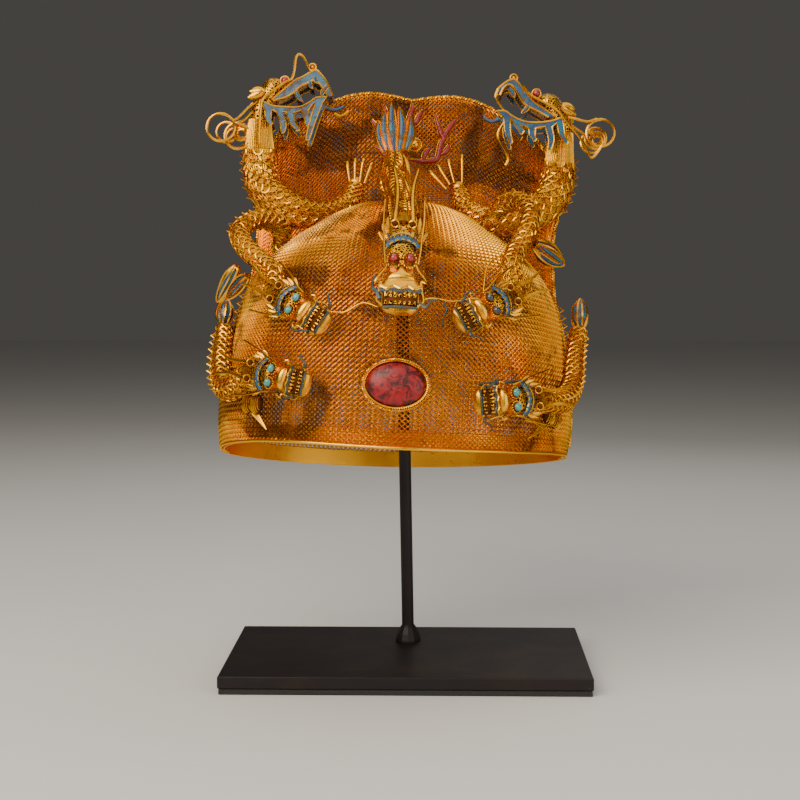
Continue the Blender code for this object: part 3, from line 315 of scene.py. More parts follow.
class Signal:
    """A number that varies over a surface. Its arithmetic adds Math nodes."""

    def __init__(self, paint, socket):
        self.paint = paint
        self.socket = socket

    def math(self, operation, first, second=None):
        values = {0: first} if second is None else {0: first, 1: second}
        return self.paint.signal("Math", {"operation": operation}, values)

    def __add__(self, other):
        return self.math("ADD", self, other)

    def __radd__(self, other):
        return self.math("ADD", other, self)

    def __sub__(self, other):
        return self.math("SUBTRACT", self, other)

    def __rsub__(self, other):
        return self.math("SUBTRACT", other, self)

    def __mul__(self, other):
        return self.math("MULTIPLY", self, other)

    def __rmul__(self, other):
        return self.math("MULTIPLY", other, self)

    def sine(self):
        return self.math("SINE", self)

    def step(self, low, high):
        """0 below low, 1 above high, smooth between."""
        sockets = {"Value": self, "From Min": low, "From Max": high}
        return self.paint.signal("MapRange", {"interpolation_type": "SMOOTHSTEP"}, sockets)


# Sockets of the node that mixes colors, by number, since names repeat there
MIX_SHARE, MIX_FIRST, MIX_SECOND, MIX_RESULT = 0, 6, 7, 2
# The map on a round body, in metres round and along it
BODY_MAP = "UVMap"
# Tint of the gold's gloss
GOLD_TINT = (1.0, 0.70, 0.22, 1.0)
# Pitch of the fine ribs round a body, and of the swells along it
RIB_PITCH = 0.00078
CROSS_PITCH = 0.0026


class Paint:
    """One finish and its nodes."""

    def __init__(self, name):
        self.material = bpy.data.materials.new("crown_" + name)
        self.material.use_nodes = True
        self.tree = self.material.node_tree
        self.shader = self.tree.nodes["Principled BSDF"]
        self.place = self.node("TexCoord", {}, {}).outputs["Object"]

    def node(self, kind, options, sockets):
        """A new node: its options are set first, then its sockets are fed."""
        node = self.tree.nodes.new("ShaderNode" + kind)
        for key, value in options.items():
            setattr(node, key, value)
        for key, value in sockets.items():
            self.feed(node.inputs[key], value)
        return node

    def feed(self, socket, value):
        if isinstance(value, Signal):
            value = value.socket
        if isinstance(value, bpy.types.NodeSocket):
            self.tree.links.new(value, socket)
        elif socket.type == "RGBA" and len(value) == 3:
            socket.default_value = (*value, 1)
        else:
            socket.default_value = value

    def signal(self, kind, options, sockets):
        return Signal(self, self.node(kind, options, sockets).outputs[0])

    def noise(self, scale, detail, rough, warp=0.0):
        sockets = {"Vector": self.place, "Scale": scale, "Detail": detail}
        sockets.update({"Roughness": rough, "Distortion": warp})
        return self.signal("TexNoise", {}, sockets)

    def net(self, scale):
        """How far a place is from the threads of a net."""
        sockets = {"Vector": self.place, "Scale": scale}
        return self.signal("TexVoronoi", {"feature": "DISTANCE_TO_EDGE"}, sockets)

    def mix(self, share, first, second):
        sockets = {MIX_SHARE: share, MIX_FIRST: first, MIX_SECOND: second}
        return self.node("Mix", {"data_type": "RGBA"}, sockets).outputs[MIX_RESULT]

    def body_map(self):
        """The two numbers of a round body's own map, in metres round and along it."""
        spot = self.node("UVMap", {"uv_map": BODY_MAP}, {}).outputs[0]
        split = self.node("SeparateXYZ", {}, {0: spot})
        return Signal(self, split.outputs[0]), Signal(self, split.outputs[1])

    def bump(self, height, strength, distance):
        sockets = {"Height": height, "Strength": strength, "Distance": distance}
        return self.node("Bump", {}, sockets).outputs[0]

    def finish(self, **sockets):
        """Feeds the shader's sockets, whose names are written in small letters here."""
        for key, value in sockets.items():
            self.feed(self.shader.inputs[key.replace("_", " ").title()], value)


def gold(name, bright, deep, rough, grain=900.0, dent=0.00012):
    """Worked gold: warmer and duller in patches, finely dented."""
    paint = Paint(name)
    patches = paint.noise(38, 5, 0.6, 0.4)
    fine = paint.noise(grain, 3, 0.6)
    shade = patches.step(0.36, 0.66) * 0.7 + fine.step(0.35, 0.7) * 0.3
    color = paint.mix(shade, deep, bright)
    scuffs = paint.noise(160, 6, 0.7, 1.2)
    paint.finish(
        base_color=color,
        metallic=1.0,
        specular_tint=GOLD_TINT,
        roughness=rough + scuffs * 0.16 - shade * 0.06,
        normal=paint.bump(fine + scuffs * 0.6, 0.5, dent),
    )


def mix_gold():
    look = settings()
    bright, deep = look.bright_gold[:], look.deep_gold[:]
    gold("gold", bright, deep, 0.22)
    dulled = [0.8 * b + 0.2 * d for b, d in zip(bright, deep)]
    gold("polished_gold", bright, dulled, 0.25, 500, 0.00008)
    woven = Paint("woven_gold")
    patches = woven.noise(26, 5, 0.65, 0.8)
    thread = woven.noise(700, 3, 0.6)
    shade = patches.step(0.34, 0.68) * 0.65 + thread * 0.35
    tarnish = woven.noise(17, 5, 0.7, 1.5).step(0.50, 0.60) * 0.75
    woven.finish(
        base_color=woven.mix(tarnish, woven.mix(shade, deep, bright), (0.16, 0.060, 0.030)),
        metallic=1.0,
        specular_tint=GOLD_TINT,
        roughness=0.38 - shade * 0.14,
        normal=woven.bump(thread, 0.5, 0.0001),
    )
    ribbed = Paint("ribbed_gold")
    around, along = ribbed.body_map()
    ribs = (around * (2 * math.pi / RIB_PITCH)).sine()
    cross = (along * (2 * math.pi / CROSS_PITCH)).sine()
    patches = ribbed.noise(60, 4, 0.6)
    # Painted shade: between the ribs the colour falls to a third of the deep gold, for the shade in
    # their grooves.
    shade = ribs.step(-0.9, 0.9) * 0.6 + patches.step(0.35, 0.7) * 0.4
    ribbed.finish(
        base_color=ribbed.mix(shade, [c * 0.30 for c in deep], [0.9 * c for c in bright]),
        metallic=1.0,
        roughness=0.42 - shade * 0.12,
        normal=ribbed.bump(ribs + cross * 0.3, 0.6, 0.0002),
    )
    netted = Paint("netted_gold")
    web = netted.net(620)
    # Painted shade: the net's holes are painted near black on a closed surface, for the shade seen
    # through them.
    holes = web.step(0.10, 0.24)
    tone = netted.noise(70, 4, 0.6)
    wires = netted.mix(tone.step(0.35, 0.68), deep, bright)
    netted.finish(
        base_color=netted.mix(holes, wires, (0.035, 0.010, 0.003)),
        metallic=1.0,
        roughness=0.28 + holes * 0.35,
        normal=netted.bump(1 - holes, 1.0, 0.0005),
    )


def mix_enamel(name, color, pale, worn, amount):
    """Glassy enamel, mottled and worn to a dull bare ground in places."""
    paint = Paint(name)
    mottle = paint.noise(210, 5, 0.6, 0.5)
    bare = paint.noise(150, 6, 0.66, 1.0).step(amount, amount + 0.09)
    chalk = paint.noise(330, 4, 0.6, 0.6).step(0.55, 0.66) * 0.5
    glass = paint.mix(mottle.step(0.38, 0.64), color, pale)
    glass = paint.mix(chalk, glass, [0.9 * c + 0.012 for c in pale])
    paint.finish(
        base_color=paint.mix(bare, glass, worn),
        metallic=bare * 0.35,
        roughness=0.34 + bare * 0.24 + mottle * 0.08,
        coat_weight=0.12 - bare * 0.12,
        normal=paint.bump(mottle - bare * 0.8, 0.5, 0.0002),
    )


def mix_stones():
    look = settings()
    stone = Paint("red_stone")
    clouds = stone.noise(190, 7, 0.70, 1.2)
    veins = stone.noise(320, 5, 0.7, 0.6)
    deep = stone.mix(clouds.step(0.43, 0.55), (0.055, 0.0005, 0.002), look.red_stone[:])
    pink = (veins.step(0.50, 0.60) * clouds.step(0.46, 0.62)) * 0.4
    stone.finish(
        base_color=stone.mix(pink, deep, (0.34, 0.035, 0.030)),
        roughness=0.34 + veins.step(0.4, 0.8) * 0.22,
        normal=stone.bump(veins + clouds, 0.35, 0.0004),
    )
    for name, color, dark in (
        ("turquoise", look.turquoise[:], (0.03, 0.20, 0.20)),
        ("red_glass", (0.55, 0.012, 0.02), (0.16, 0.002, 0.006)),
        # Painted shade: dark grey glass for eyes that lie in shadow.
        ("painted_shade_glass", (0.10, 0.13, 0.13), (0.015, 0.015, 0.02)),
    ):
        paint = Paint(name)
        clouds = paint.noise(420, 5, 0.6, 0.8)
        paint.finish(
            base_color=paint.mix(clouds.step(0.38, 0.68), dark, color),
            roughness=0.10 + clouds * 0.12,
            coat_weight=0.7,
            normal=paint.bump(clouds, 0.2, 0.0002),
        )


def mix_stand_finishes():
    look = settings()
    steel = Paint("blackened_steel")
    cloud = steel.noise(24, 6, 0.6, 0.6)
    scratch = steel.noise(260, 6, 0.75, 2.2)
    chips = steel.noise(520, 4, 0.6).step(0.735, 0.765)
    tone = steel.mix(cloud.step(0.4, 0.75), look.steel[:], (0.040, 0.027, 0.021))
    tone = steel.mix(scratch.step(0.64, 0.74) * 0.5, tone, (0.085, 0.080, 0.080))
    steel.finish(
        base_color=steel.mix(chips, tone, (0.34, 0.33, 0.34)),
        metallic=0.75,
        roughness=0.50 - cloud * 0.14 + scratch * 0.12,
        normal=steel.bump(scratch + cloud, 0.30, 0.0003),
    )
    rubber = Paint("pad_rubber")
    grain = rubber.noise(900, 3, 0.6)
    rubber.finish(
        base_color=rubber.mix(grain.step(0.4, 0.7), (0.012, 0.012, 0.013), (0.03, 0.03, 0.03)),
        roughness=0.78 + grain * 0.1,
        normal=rubber.bump(grain, 0.4, 0.0002),
    )
    # Painted shade: a dark, mottled gold-brown finish put inside the mouths, in the horns' cups and
    # on rings round the eyes, where shade falls.
    shadow = Paint("dark_hollow")
    shade_mottle = shadow.noise(300, 3, 0.5)
    shadow.finish(
        base_color=shadow.mix(shade_mottle, (0.030, 0.008, 0.001), (0.22, 0.060, 0.006)),
        metallic=0.8,
        roughness=0.6,
    )


# Making pieces


def select_only(*objects):
    for obj in bpy.context.view_layer.objects:
        if obj.visible_get():
            obj.select_set(False)
    for obj in objects:
        obj.select_set(True)
    bpy.context.view_layer.objects.active = objects[0]


def link(obj):
    bpy.context.scene.collection.objects.link(obj)
    return obj


def dressed(obj, name, finish, replaces=(), angle=40.0):
    """Poses a piece, gives it its finish and hangs it on the part's one body."""
    obj.name = name
    obj.data.name = name
    obj.data.transform(obj.matrix_world)
    obj.matrix_world = Matrix.Identity(4)
    obj.data.transform(POSE)
    obj.data.materials.clear()
    obj.data.materials.append(bpy.data.materials["crown_" + finish])
    if angle is not None:
        select_only(obj)
        bpy.ops.object.shade_smooth_by_angle(angle=math.radians(angle))
    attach(obj, "root")
    if replaces:
        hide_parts(*replaces)


def joined(parts):
    """Several mesh pieces as one."""
    select_only(*parts)
    if len(parts) > 1:
        bpy.ops.object.join()
    return parts[0]


def from_faces(name, verts, faces):
    mesh = bpy.data.meshes.new(name)
    mesh.from_pydata([tuple(v) for v in verts], [], faces)
    return link(bpy.data.objects.new(name, mesh))


def recalculated(obj):
    """Closes a skin's seams and turns its faces outward."""
    select_only(obj)
    bpy.ops.object.mode_set(mode="EDIT")
    bpy.ops.mesh.select_all(action="SELECT")
    bpy.ops.mesh.remove_doubles(threshold=1e-7)
    bpy.ops.mesh.normals_make_consistent(inside=False)
    bpy.ops.object.mode_set(mode="OBJECT")
    return obj


def lofted(name, rings, closed=True):
    """A skin over rings of equal count, with a face on each end if it is closed."""
    count = len(rings[0])
    verts = [point for ring in rings for point in ring]
    faces = []
    for r in range(len(rings) - 1):
        low, high = r * count, (r + 1) * count
        for k in range(count):
            n = (k + 1) % count
            faces.append((low + k, low + n, high + n, high + k))
    if closed:
        faces.append(tuple(range(count)))
        faces.append(tuple(range((len(rings) - 1) * count, len(rings) * count)))
    return recalculated(from_faces(name, verts, faces))


def bent_wires(name, lines, roundness):
    """Round wires along lines of points, each with one radius or one at each point."""
    curve = bpy.data.curves.new(name, "CURVE")
    curve.dimensions = "3D"
    curve.bevel_depth = 1.0
    curve.bevel_resolution = roundness
    curve.use_fill_caps = True
    for points, radius in lines:
        radii = radius if hasattr(radius, "__len__") else [radius] * len(points)
        spline = curve.splines.new("POLY")
        spline.points.add(len(points) - 1)
        flat = [value for point in points for value in (*point, 1.0)]
        spline.points.foreach_set("co", flat)
        spline.points.foreach_set("radius", list(radii))
    obj = link(bpy.data.objects.new(name, curve))
    select_only(obj)
    bpy.ops.object.convert(target="MESH")
    return obj


def curved(points, steps=4):
    """Points along a smooth line through the given ones."""
    return [Vector(row) for row in smooth_rows([tuple(p) for p in points], steps)]


STRANDS = 2
# A direction that no rope runs along, from which its strands' turn is counted
ROPE_SIDE = Vector((0.31, 0.93, 0.2))


def twisted(points, radius, pitch):
    """Strands wound round a line, as the points of each."""
    points = [Vector(p) for p in points]
    lengths = [0.0]
    for a, b in zip(points, points[1:]):
        lengths.append(lengths[-1] + (b - a).length)
    steps = int(lengths[-1] / pitch * 8)
    lines = [[] for _ in range(STRANDS)]
    for k in range(steps + 1):
        here = lengths[-1] * k / steps
        i = next((n for n in range(len(points) - 2) if lengths[n + 1] >= here), len(points) - 2)
        share = (here - lengths[i]) / max(lengths[i + 1] - lengths[i], 1e-9)
        middle = points[i].lerp(points[i + 1], share)
        ahead = (points[i + 1] - points[i]).normalized()
        side = ahead.cross(ROPE_SIDE).normalized()
        up = side.cross(ahead)
        for s in range(STRANDS):
            turn = 2 * math.pi * (here / pitch + s / STRANDS)
            lines[s].append(middle + radius * (math.cos(turn) * side + math.sin(turn) * up))
    return lines


def weave(name, places, outward, keep, radius, sway):
    """Two families of wires that cross over and under at a staggered grid of places."""
    rows, columns = keep.shape
    i, j = np.meshgrid(np.arange(rows), np.arange(columns), indexing="ij")
    verts, faces = [], []
    base = 0
    for family in (1, -1):
        shift = (i % 2) if family == 1 else (i % 2) - 1
        ahead_i, ahead_j = i + 1, j + shift
        real = (ahead_i < rows) & (ahead_j >= 0) & (ahead_j < columns)
        ai, aj = np.clip(ahead_i, 0, rows - 1), np.clip(ahead_j, 0, columns - 1)
        tied = real & keep & keep[ai, aj]
        step = np.where(tied[..., None], places[ai, aj] - places, 0)
        behind = np.zeros_like(step)
        behind[ai[tied], aj[tied]] = step[tied]
        lane = unit(step + behind + 1e-12)
        side = unit(np.cross(lane, outward))
        over = np.where(i % 2 == 0, family, -family)[..., None] * sway
        rings = []
        for turn in (math.pi / 2, math.pi * 7 / 6, math.pi * 11 / 6):
            reach = math.sin(turn) * outward + math.cos(turn) * side
            rings.append(places + over * outward + radius * reach)
        verts.append(np.stack(rings, axis=2).reshape(-1, 3))
        here = base + 3 * (i * columns + j)[tied]
        there = base + 3 * (ai * columns + aj)[tied]
        for k in range(3):
            n = (k + 1) % 3
            faces.append(np.stack([here + k, there + k, there + n, here + n], axis=1))
        first = np.setdiff1d(here, there)
        last = np.setdiff1d(there, here)
        for caps, order in ((first, (0, 1, 2)), (last, (0, 2, 1))):
            ends = np.stack([caps + order[0], caps + order[1], caps + order[2]], axis=1)
            faces.append(np.concatenate([ends, ends[:, :1]], axis=1))
        base += 3 * rows * columns
    verts = np.concatenate(verts)
    faces = np.concatenate(faces)
    used, faces = np.unique(faces, return_inverse=True)
    faces = faces.reshape(-1, 4)
    lists = [tuple(f[:3]) if f[0] == f[3] else tuple(f) for f in faces.tolist()]
    return from_faces(name, verts[used].tolist(), lists)


def even_rows(line, pitch, top=1.0):
    """Values from 0 to top that stand a pitch apart along a line of places."""
    at = np.linspace(0, top, 1500)
    steps = np.linalg.norm(np.diff(line(at), axis=0), axis=1)
    length = np.concatenate([[0], np.cumsum(steps)])
    count = max(2, int(length[-1] / pitch))
    return np.interp(np.arange(count + 1) * length[-1] / count, length, at)


def grid_out(places):
    """Outward directions of a grid of places, from its neighbours."""
    up = np.gradient(places, axis=0)
    across = np.gradient(places, axis=1)
    return unit(np.cross(across, up))


def inside_dome(places):
    """How far places lie inside the dome, as a share of its width, above 0 inside."""
    x, y, z = places[..., 0], places[..., 1], places[..., 2]
    depth = np.where(y < 0, HALF_DEPTH, BACK_DEPTH)
    reach = np.hypot(x / HALF_WIDTH, y / depth)
    share = np.clip(z / DOME_HEIGHT, 0, 1)
    wide = np.where(z < DOME_HEIGHT, through(DOME_PROFILE, share), -0.05)
    return wide - reach


def behind_hill(places):
    """How far places lie behind the hill's front, in metres."""
    x, y, z = places[..., 0], places[..., 1], places[..., 2]
    up = z / HILL_HEIGHT
    u = np.clip(x / hill_size(up, 1), -1, 1)
    v = np.clip(up / through(HILL_TOP, np.abs(u)), 0, 1)
    return y - hill_skin(u, v, True)[..., 1]


# Distance between the steps of a body's path, and between the rings of its skin
PATH_STEP = 0.00012
CORE_PITCH = 0.0016


class Body:
    """A round body along a path, with a place for every distance and angle on it."""

    def __init__(self, points, radii, outward):
        points = np.array([tuple(p) for p in points], float)
        steps = np.linalg.norm(np.diff(points, axis=0), axis=1)
        length = np.concatenate([[0], np.cumsum(steps)])
        self.length = length[-1]
        self.at = np.linspace(0, self.length, int(self.length / PATH_STEP) + 2)
        self.middle = np.stack([np.interp(self.at, length, points[:, c]) for c in range(3)], -1)
        self.radius = np.interp(self.at, length, radii)
        out = np.stack([np.interp(self.at, length, outward[:, c]) for c in range(3)], -1)
        self.ahead = unit(np.gradient(self.middle, axis=0))
        self.up = unit(out - (out * self.ahead).sum(-1, keepdims=True) * self.ahead)
        self.side = np.cross(self.ahead, self.up)

    def place(self, along, angle, lift=0.0):
        """Places on the skin. Angle 0 faces outward, and a positive one turns to the side."""
        along = np.clip(along, 0, self.length)
        last = len(self.at) - 1
        pick = np.clip(np.round(along / self.length * last).astype(int), 0, last)
        reach = self.radius[pick] + lift
        turn = np.cos(angle)[..., None] * self.up[pick] + np.sin(angle)[..., None] * self.side[pick]
        return self.middle[pick] + reach[..., None] * turn

    def core(self, name, round_steps=20):
        """The body's plain skin, with its map in metres round and along it."""
        rows = np.linspace(0, self.length, max(4, int(self.length / CORE_PITCH)))
        angles = np.linspace(0, 2 * np.pi, round_steps, endpoint=False)
        grid_rows, grid_angles = np.meshgrid(rows, angles, indexing="ij")
        places = self.place(grid_rows, grid_angles)
        obj = lofted(name, places.tolist())
        layer = obj.data.uv_layers.new(name=BODY_MAP)
        wide = 2 * math.pi * float(self.radius.max())
        for polygon in obj.data.polygons:
            for loop in polygon.loop_indices:
                spot = np.array(obj.data.vertices[obj.data.loops[loop].vertex_index].co)
                near = int(((self.middle - spot) ** 2).sum(1).argmin())
                arm = spot - self.middle[near]
                angle = math.atan2(float(arm @ self.side[near]), float(arm @ self.up[near]))
                layer.data[loop].uv = (angle / (2 * math.pi) * wide, float(self.at[near]))
        return obj

    def scales(self, width, first, last, spread, wire, flow, ribs=3):
        """Rounded wire scales in staggered rows; flow is 1 where the head is at the end."""
        lines = []
        usual = float(np.median(self.radius))
        count = max(4, round(2 * math.pi * usual / width))
        half = math.pi / count
        turns = np.linspace(-math.pi / 2, math.pi / 2, 7)
        row, along = 0, first
        while along < last:
            local = width * float(np.interp(along, self.at, self.radius)) / usual
            for k in range(count):
                angle = (k + 0.5 * (row % 2)) * 2 * half
                angle = (angle + math.pi) % (2 * math.pi) - math.pi
                if abs(angle) > spread:
                    continue
                spots = along - flow * local * 0.62 * np.cos(turns)
                lift = wire * (0.7 + 0.5 * np.cos(turns))
                lines.append((self.place(spots, angle + half * np.sin(turns), lift), wire))
                for r in range(ribs):
                    across = 2 * (r + 1) / (ribs + 1) - 1
                    deep = 0.62 * math.sqrt(1 - across * across) - 0.08
                    pair = along + flow * local * np.array([0.05, -deep])
                    rib = self.place(pair, np.full(2, angle + half * across * 0.9), wire * 0.15)
                    lines.append((rib, wire * 0.42))
            along += local * 0.5
            row += 1
        return lines

    def spines(self, first, last, pitch, height, angle, wire):
        """A zigzag of wire standing along one side."""
        steps = int((last - first) / pitch * 2)
        line = []
        for k in range(steps + 1):
            along = np.array([first + (last - first) * k / max(steps, 1)])
            lift = height if k % 2 else -wire
            line.append(self.place(along, np.array([angle]), lift)[0])
        return line, wire


def ball(radius, place, segments=24, rings=14):
    bpy.ops.mesh.primitive_uv_sphere_add(segments=segments, ring_count=rings, radius=radius)
    obj = bpy.context.object
    obj.data.transform(place)
    return obj


def ring(major, minor, place, steps=28, section=8):
    bpy.ops.mesh.primitive_torus_add(
        major_radius=major, minor_radius=minor, major_segments=steps, minor_segments=section
    )
    obj = bpy.context.object
    obj.data.transform(place)
    return obj


def dome_frame(azimuth, share, lift, heading=0.0, pitch=0.0, size=1.0):
    """Forward, sideways and outward axes on the dome, scaled, with their origin there."""
    out = Vector(dome_out(azimuth, share))
    east = Vector(dome_skin(azimuth + 0.5, share) - dome_skin(azimuth - 0.5, share)).normalized()
    up = out.cross(east)
    turn = math.radians(heading)
    ahead = math.cos(turn) * east + math.sin(turn) * up
    place = Matrix((ahead, out.cross(ahead), out)).transposed().to_4x4()
    place = place @ Matrix.Rotation(-math.radians(pitch), 4, "Y") @ Matrix.Scale(size, 4)
    place.translation = Vector(dome_place(azimuth, share, lift))
    return place


def leaf(points, width, thick, face):
    """A leaf-shaped plate along points, its broad side towards face, and its outline."""
    path = curved(points, 5)
    count = len(path)
    rows, left, right = [], [], []
    for k, middle in enumerate(path):
        share = k / (count - 1)
        ahead = (path[min(k + 1, count - 1)] - path[max(k - 1, 0)]).normalized()
        side = ahead.cross(face).normalized()
        out = side.cross(ahead)
        wide = width / 2 * (0.10 + 0.90 * math.sin(math.pi * min(1.0, 0.14 + 0.86 * share)) ** 0.7)
        edge = wide if k < count - 1 else width * 0.04
        reach, shoulder, rise = side * edge, side * edge * 0.4, out * thick * 0.6
        rows.append([
            middle - reach, middle - shoulder + rise, middle + shoulder + rise,
            middle + reach, middle + shoulder - rise, middle - shoulder - rise,
        ])
        left.append(middle - reach)
        right.append(middle + reach)
    return lofted("leaf", rows), left + right[::-1]


# Pieces

# The dome's weave ends here, as a share of its height, inside the cap's rings
WEAVE_TOP = 0.985
CAP_SHARES = (0.9835, 0.989, 0.994, 0.9985)
CAP_STEPS = 40
# How far each weave goes on behind the other: in metres, and as a share of the width
DOME_OVERLAP = 0.0015
HILL_OVERLAP = 0.012
# The share of the hill's height at which its front weave starts, hidden by the dome
HILL_FRONT_FOOT = 0.06
BACK_COLUMNS = 104
# A weave keeps its last column up to this share of the way to the edge
EDGE_SLACK = 1.001


def weave_dome():
    look = settings()
    shares = even_rows(lambda s: dome_skin(0.0, s), look.dome_row, WEAVE_TOP)
    reach = int(math.pi * HALF_WIDTH / look.dome_hole)
    i, j = np.meshgrid(np.arange(len(shares)), np.arange(-reach, reach + 1), indexing="ij")
    wide = HALF_WIDTH * through(DOME_PROFILE, shares[i]) ** 0.7
    azimuth = np.degrees((j + (i % 2) / 2) * look.dome_hole / wide)
    places = waved(dome_skin(azimuth, shares[i]))
    outward = dome_out(azimuth, shares[i])
    keep = (behind_hill(places) < DOME_OVERLAP) & (np.abs(azimuth) <= 180)
    obj = weave("dome_weave", places, outward, keep, look.mesh_wire, look.mesh_sway)
    dressed(obj, "dome_weave", "woven_gold", ["front_dome"], angle=None)
    turns = np.linspace(0, 360, CAP_STEPS, endpoint=False)
    rings = [dome_skin(turns, np.full(CAP_STEPS, share)).tolist() for share in CAP_SHARES]
    dressed(lofted("dome_cap", rings), "dome_cap", "netted_gold")


def weave_hill():
    look = settings()
    shares = even_rows(lambda v: hill_skin(0.3 + 0 * v, v, True), look.hill_row)
    columns = int(2 * HILL_HALF_WIDTH / look.hill_hole)
    i, j = np.meshgrid(np.arange(len(shares)), np.arange(columns + 1), indexing="ij")
    u = -1 + 2 * (j + (i % 2) / 2) / columns
    places = hill_skin(u, shares[i], True)
    keep = (inside_dome(places) < HILL_OVERLAP) & (u <= EDGE_SLACK)
    keep &= shares[i] > HILL_FRONT_FOOT
    front = weave("front", places, grid_out(places), keep, look.mesh_wire, look.mesh_sway)
    dressed(front, "hill_front_weave", "woven_gold", ["back_hill"], angle=None)
    i, j = np.meshgrid(np.arange(len(shares)), np.arange(BACK_COLUMNS + 1), indexing="ij")
    turn = math.pi * (j + (i % 2) / 2) / BACK_COLUMNS
    places = waved(hill_skin(np.cos(turn), shares[i], False))
    keep = turn <= math.pi * EDGE_SLACK
    back = weave("back", places, grid_out(places), keep, look.mesh_wire, look.mesh_sway)
    dressed(back, "hill_back_weave", "woven_gold", angle=None)


def rim_line():
    """The foot of the wall, as places round the rim."""
    seam = math.degrees(math.acos(-hill_size(0.0, 2) / BACK_DEPTH))
    front = dome_skin(np.linspace(-seam, seam, 90), np.zeros(90))
    back = hill_skin(np.cos(np.linspace(0, math.pi, 62)[1:-1]), np.zeros(60), False)
    return waved(np.concatenate([front, back]))


def swept(name, line, section):
    """A flat section carried round a closed level line, distances inward and up."""
    count = len(line)
    rings = []
    for k in range(count):
        along = line[(k + 1) % count] - line[k - 1]
        inward = unit(np.array([-along[1], along[0], 0]))
        rings.append([tuple(line[k] + d * inward + np.array([0, 0, z])) for d, z in section])
    return lofted(name, rings + [rings[0]], closed=False)


def bend_rim():
    line = rim_line()
    roll, steps = [], 14
    for k in range(steps):
        turn = 2 * math.pi * k / steps
        roll.append((0.0002 + 0.0009 * math.cos(turn), -0.0008 - 0.0009 * math.sin(turn)))
    rim = swept("rim_roll", line, roll)
    dressed(rim, "rim_roll", "polished_gold", ["rim_band"], angle=60)
    near, far = 0.0017, 0.0026
    foot, top, peak = -0.0016, 0.0080, 0.0084
    strip = [(near, top), (0.5 * (near + far), peak), (far, top), (far, foot), (near, foot)]
    dressed(swept("rim_strip", line, strip), "rim_strip", "polished_gold")


ROPE_WIRE = 0.00068
ROPE_RADIUS = 0.00062
ROPE_PITCH = 0.0034
SEAM_STEPS = 60
# The zigzag beside a seam: its ends, counted in the seam's steps, and its bends
ZIGZAG_ENDS = (18, 32)
ZIGZAG_BENDS = 16
ZIGZAG_WIRE = 0.00055


def rope(name, line, replaces):
    lines = [(points, ROPE_WIRE) for points in twisted(line, ROPE_RADIUS, ROPE_PITCH)]
    dressed(bent_wires(name, lines, 1), name, "gold", [replaces])


def twist_edges():
    at = np.linspace(-0.995, 0.995, 90)
    top = hill_skin(at, np.ones(90), False) + np.array([0, 0, 0.0010])
    rope("hill_top_rope", [Vector(p) for p in top], "hill_edge")
    for side, word in ((-1, "left"), (1, "right")):
        shares = np.linspace(0.050, 0.995, SEAM_STEPS)
        seam = waved(hill_skin(np.full(SEAM_STEPS, side), shares, False))
        seam = seam + np.array([side * 0.0009, 0, 0])
        rope(f"seam_rope_{word}", [Vector(p) for p in seam], f"seam_wire_{word}")
        first, last = (seam[step] for step in ZIGZAG_ENDS)
        zigzag = []
        for k in range(ZIGZAG_BENDS + 1):
            base = first + (last - first) * k / ZIGZAG_BENDS
            out = 0.0042 if k % 2 else 0.0004
            zigzag.append(Vector(base) + Vector((side * out, -0.0006, 0)))
        wires = bent_wires("zigzag", [(zigzag, ZIGZAG_WIRE)], 1)
        dressed(wires, f"seam_zigzag_{word}", "gold")


# The stone: azimuth and share of its middle, half width and height, and rise
STONE_AT = (1.2, 0.224)
STONE_HALF = (0.0155, 0.0116)
STONE_RISE = 0.0058
STONE_EDGE = 0.0012
STONE_RINGS = 15
MILL_WIRE = 0.00042
# The curve of the dome under the stone, as twice its radius
STONE_BED = 0.205


def round_stone(grow, z, count=96):
    """Places round the stone, grown outward and z above the dome's curve."""
    a, b = STONE_HALF[0] + grow, STONE_HALF[1] + grow
    points = []
    for k in range(count):
        turn = 2 * math.pi * k / count
        x, y = a * math.cos(turn), b * math.sin(turn)
        points.append(Vector((x, y, z - x * x / STONE_BED)))
    return points


def set_stone():
    place = dome_frame(*STONE_AT, 0.0)
    rings = []
    for k in range(STONE_RINGS):
        turn = math.pi / 2 * k / STONE_RINGS
        wide = math.cos(turn) ** 0.62
        z = STONE_EDGE + (STONE_RISE - STONE_EDGE) * math.sin(turn) ** 1.1
        rings.append([
            Vector((STONE_HALF[0] * wide * math.cos(t), STONE_HALF[1] * wide * math.sin(t), z))
            for t in np.linspace(0, 2 * math.pi, 64, endpoint=False)
        ])
    rings.insert(0, [Vector((p.x, p.y, -0.0006)) for p in rings[0]])
    stone = lofted("stone", rings)
    stone.data.transform(place)
    dressed(stone, "cabochon", "red_stone", ["front_stone"], angle=60)
    collar = [
        round_stone(0.0002, -0.002), round_stone(0.0010, -0.002), round_stone(0.0010, 0.0024),
        round_stone(0.0005, 0.0029), round_stone(0.0002, 0.0024), round_stone(0.0002, -0.002),
    ]
    bezel = lofted("bezel", collar, closed=False)
    bezel.data.transform(place)
    dressed(bezel, "bezel_collar", "polished_gold", ["stone_bezel"])
    mills = []
    outer, inner = round_stone(0.0013, 0.0, 84), round_stone(0.0011, 0.0, 84)
    for low, high in zip(outer, inner):
        points = [
            low + Vector((0, 0, -0.0012)), low + Vector((0, 0, 0.0016)),
            high + Vector((0, 0, 0.0026)),
        ]
        mills.append((points, MILL_WIRE))
    loop = round_stone(0.0019, 0.0004)
    for points in twisted(loop + loop[:1], 0.0004, 0.0024):
        mills.append((points, MILL_WIRE))
    wires = bent_wires("mill", mills, 1)
    wires.data.transform(place)
    dressed(wires, "bezel_wires", "gold")


FLAME_LIFT = 0.0012
FLAME_RADIUS = 0.00175
FLAME_EDGE = 0.00022
PEARL_RADIUS = 0.0027


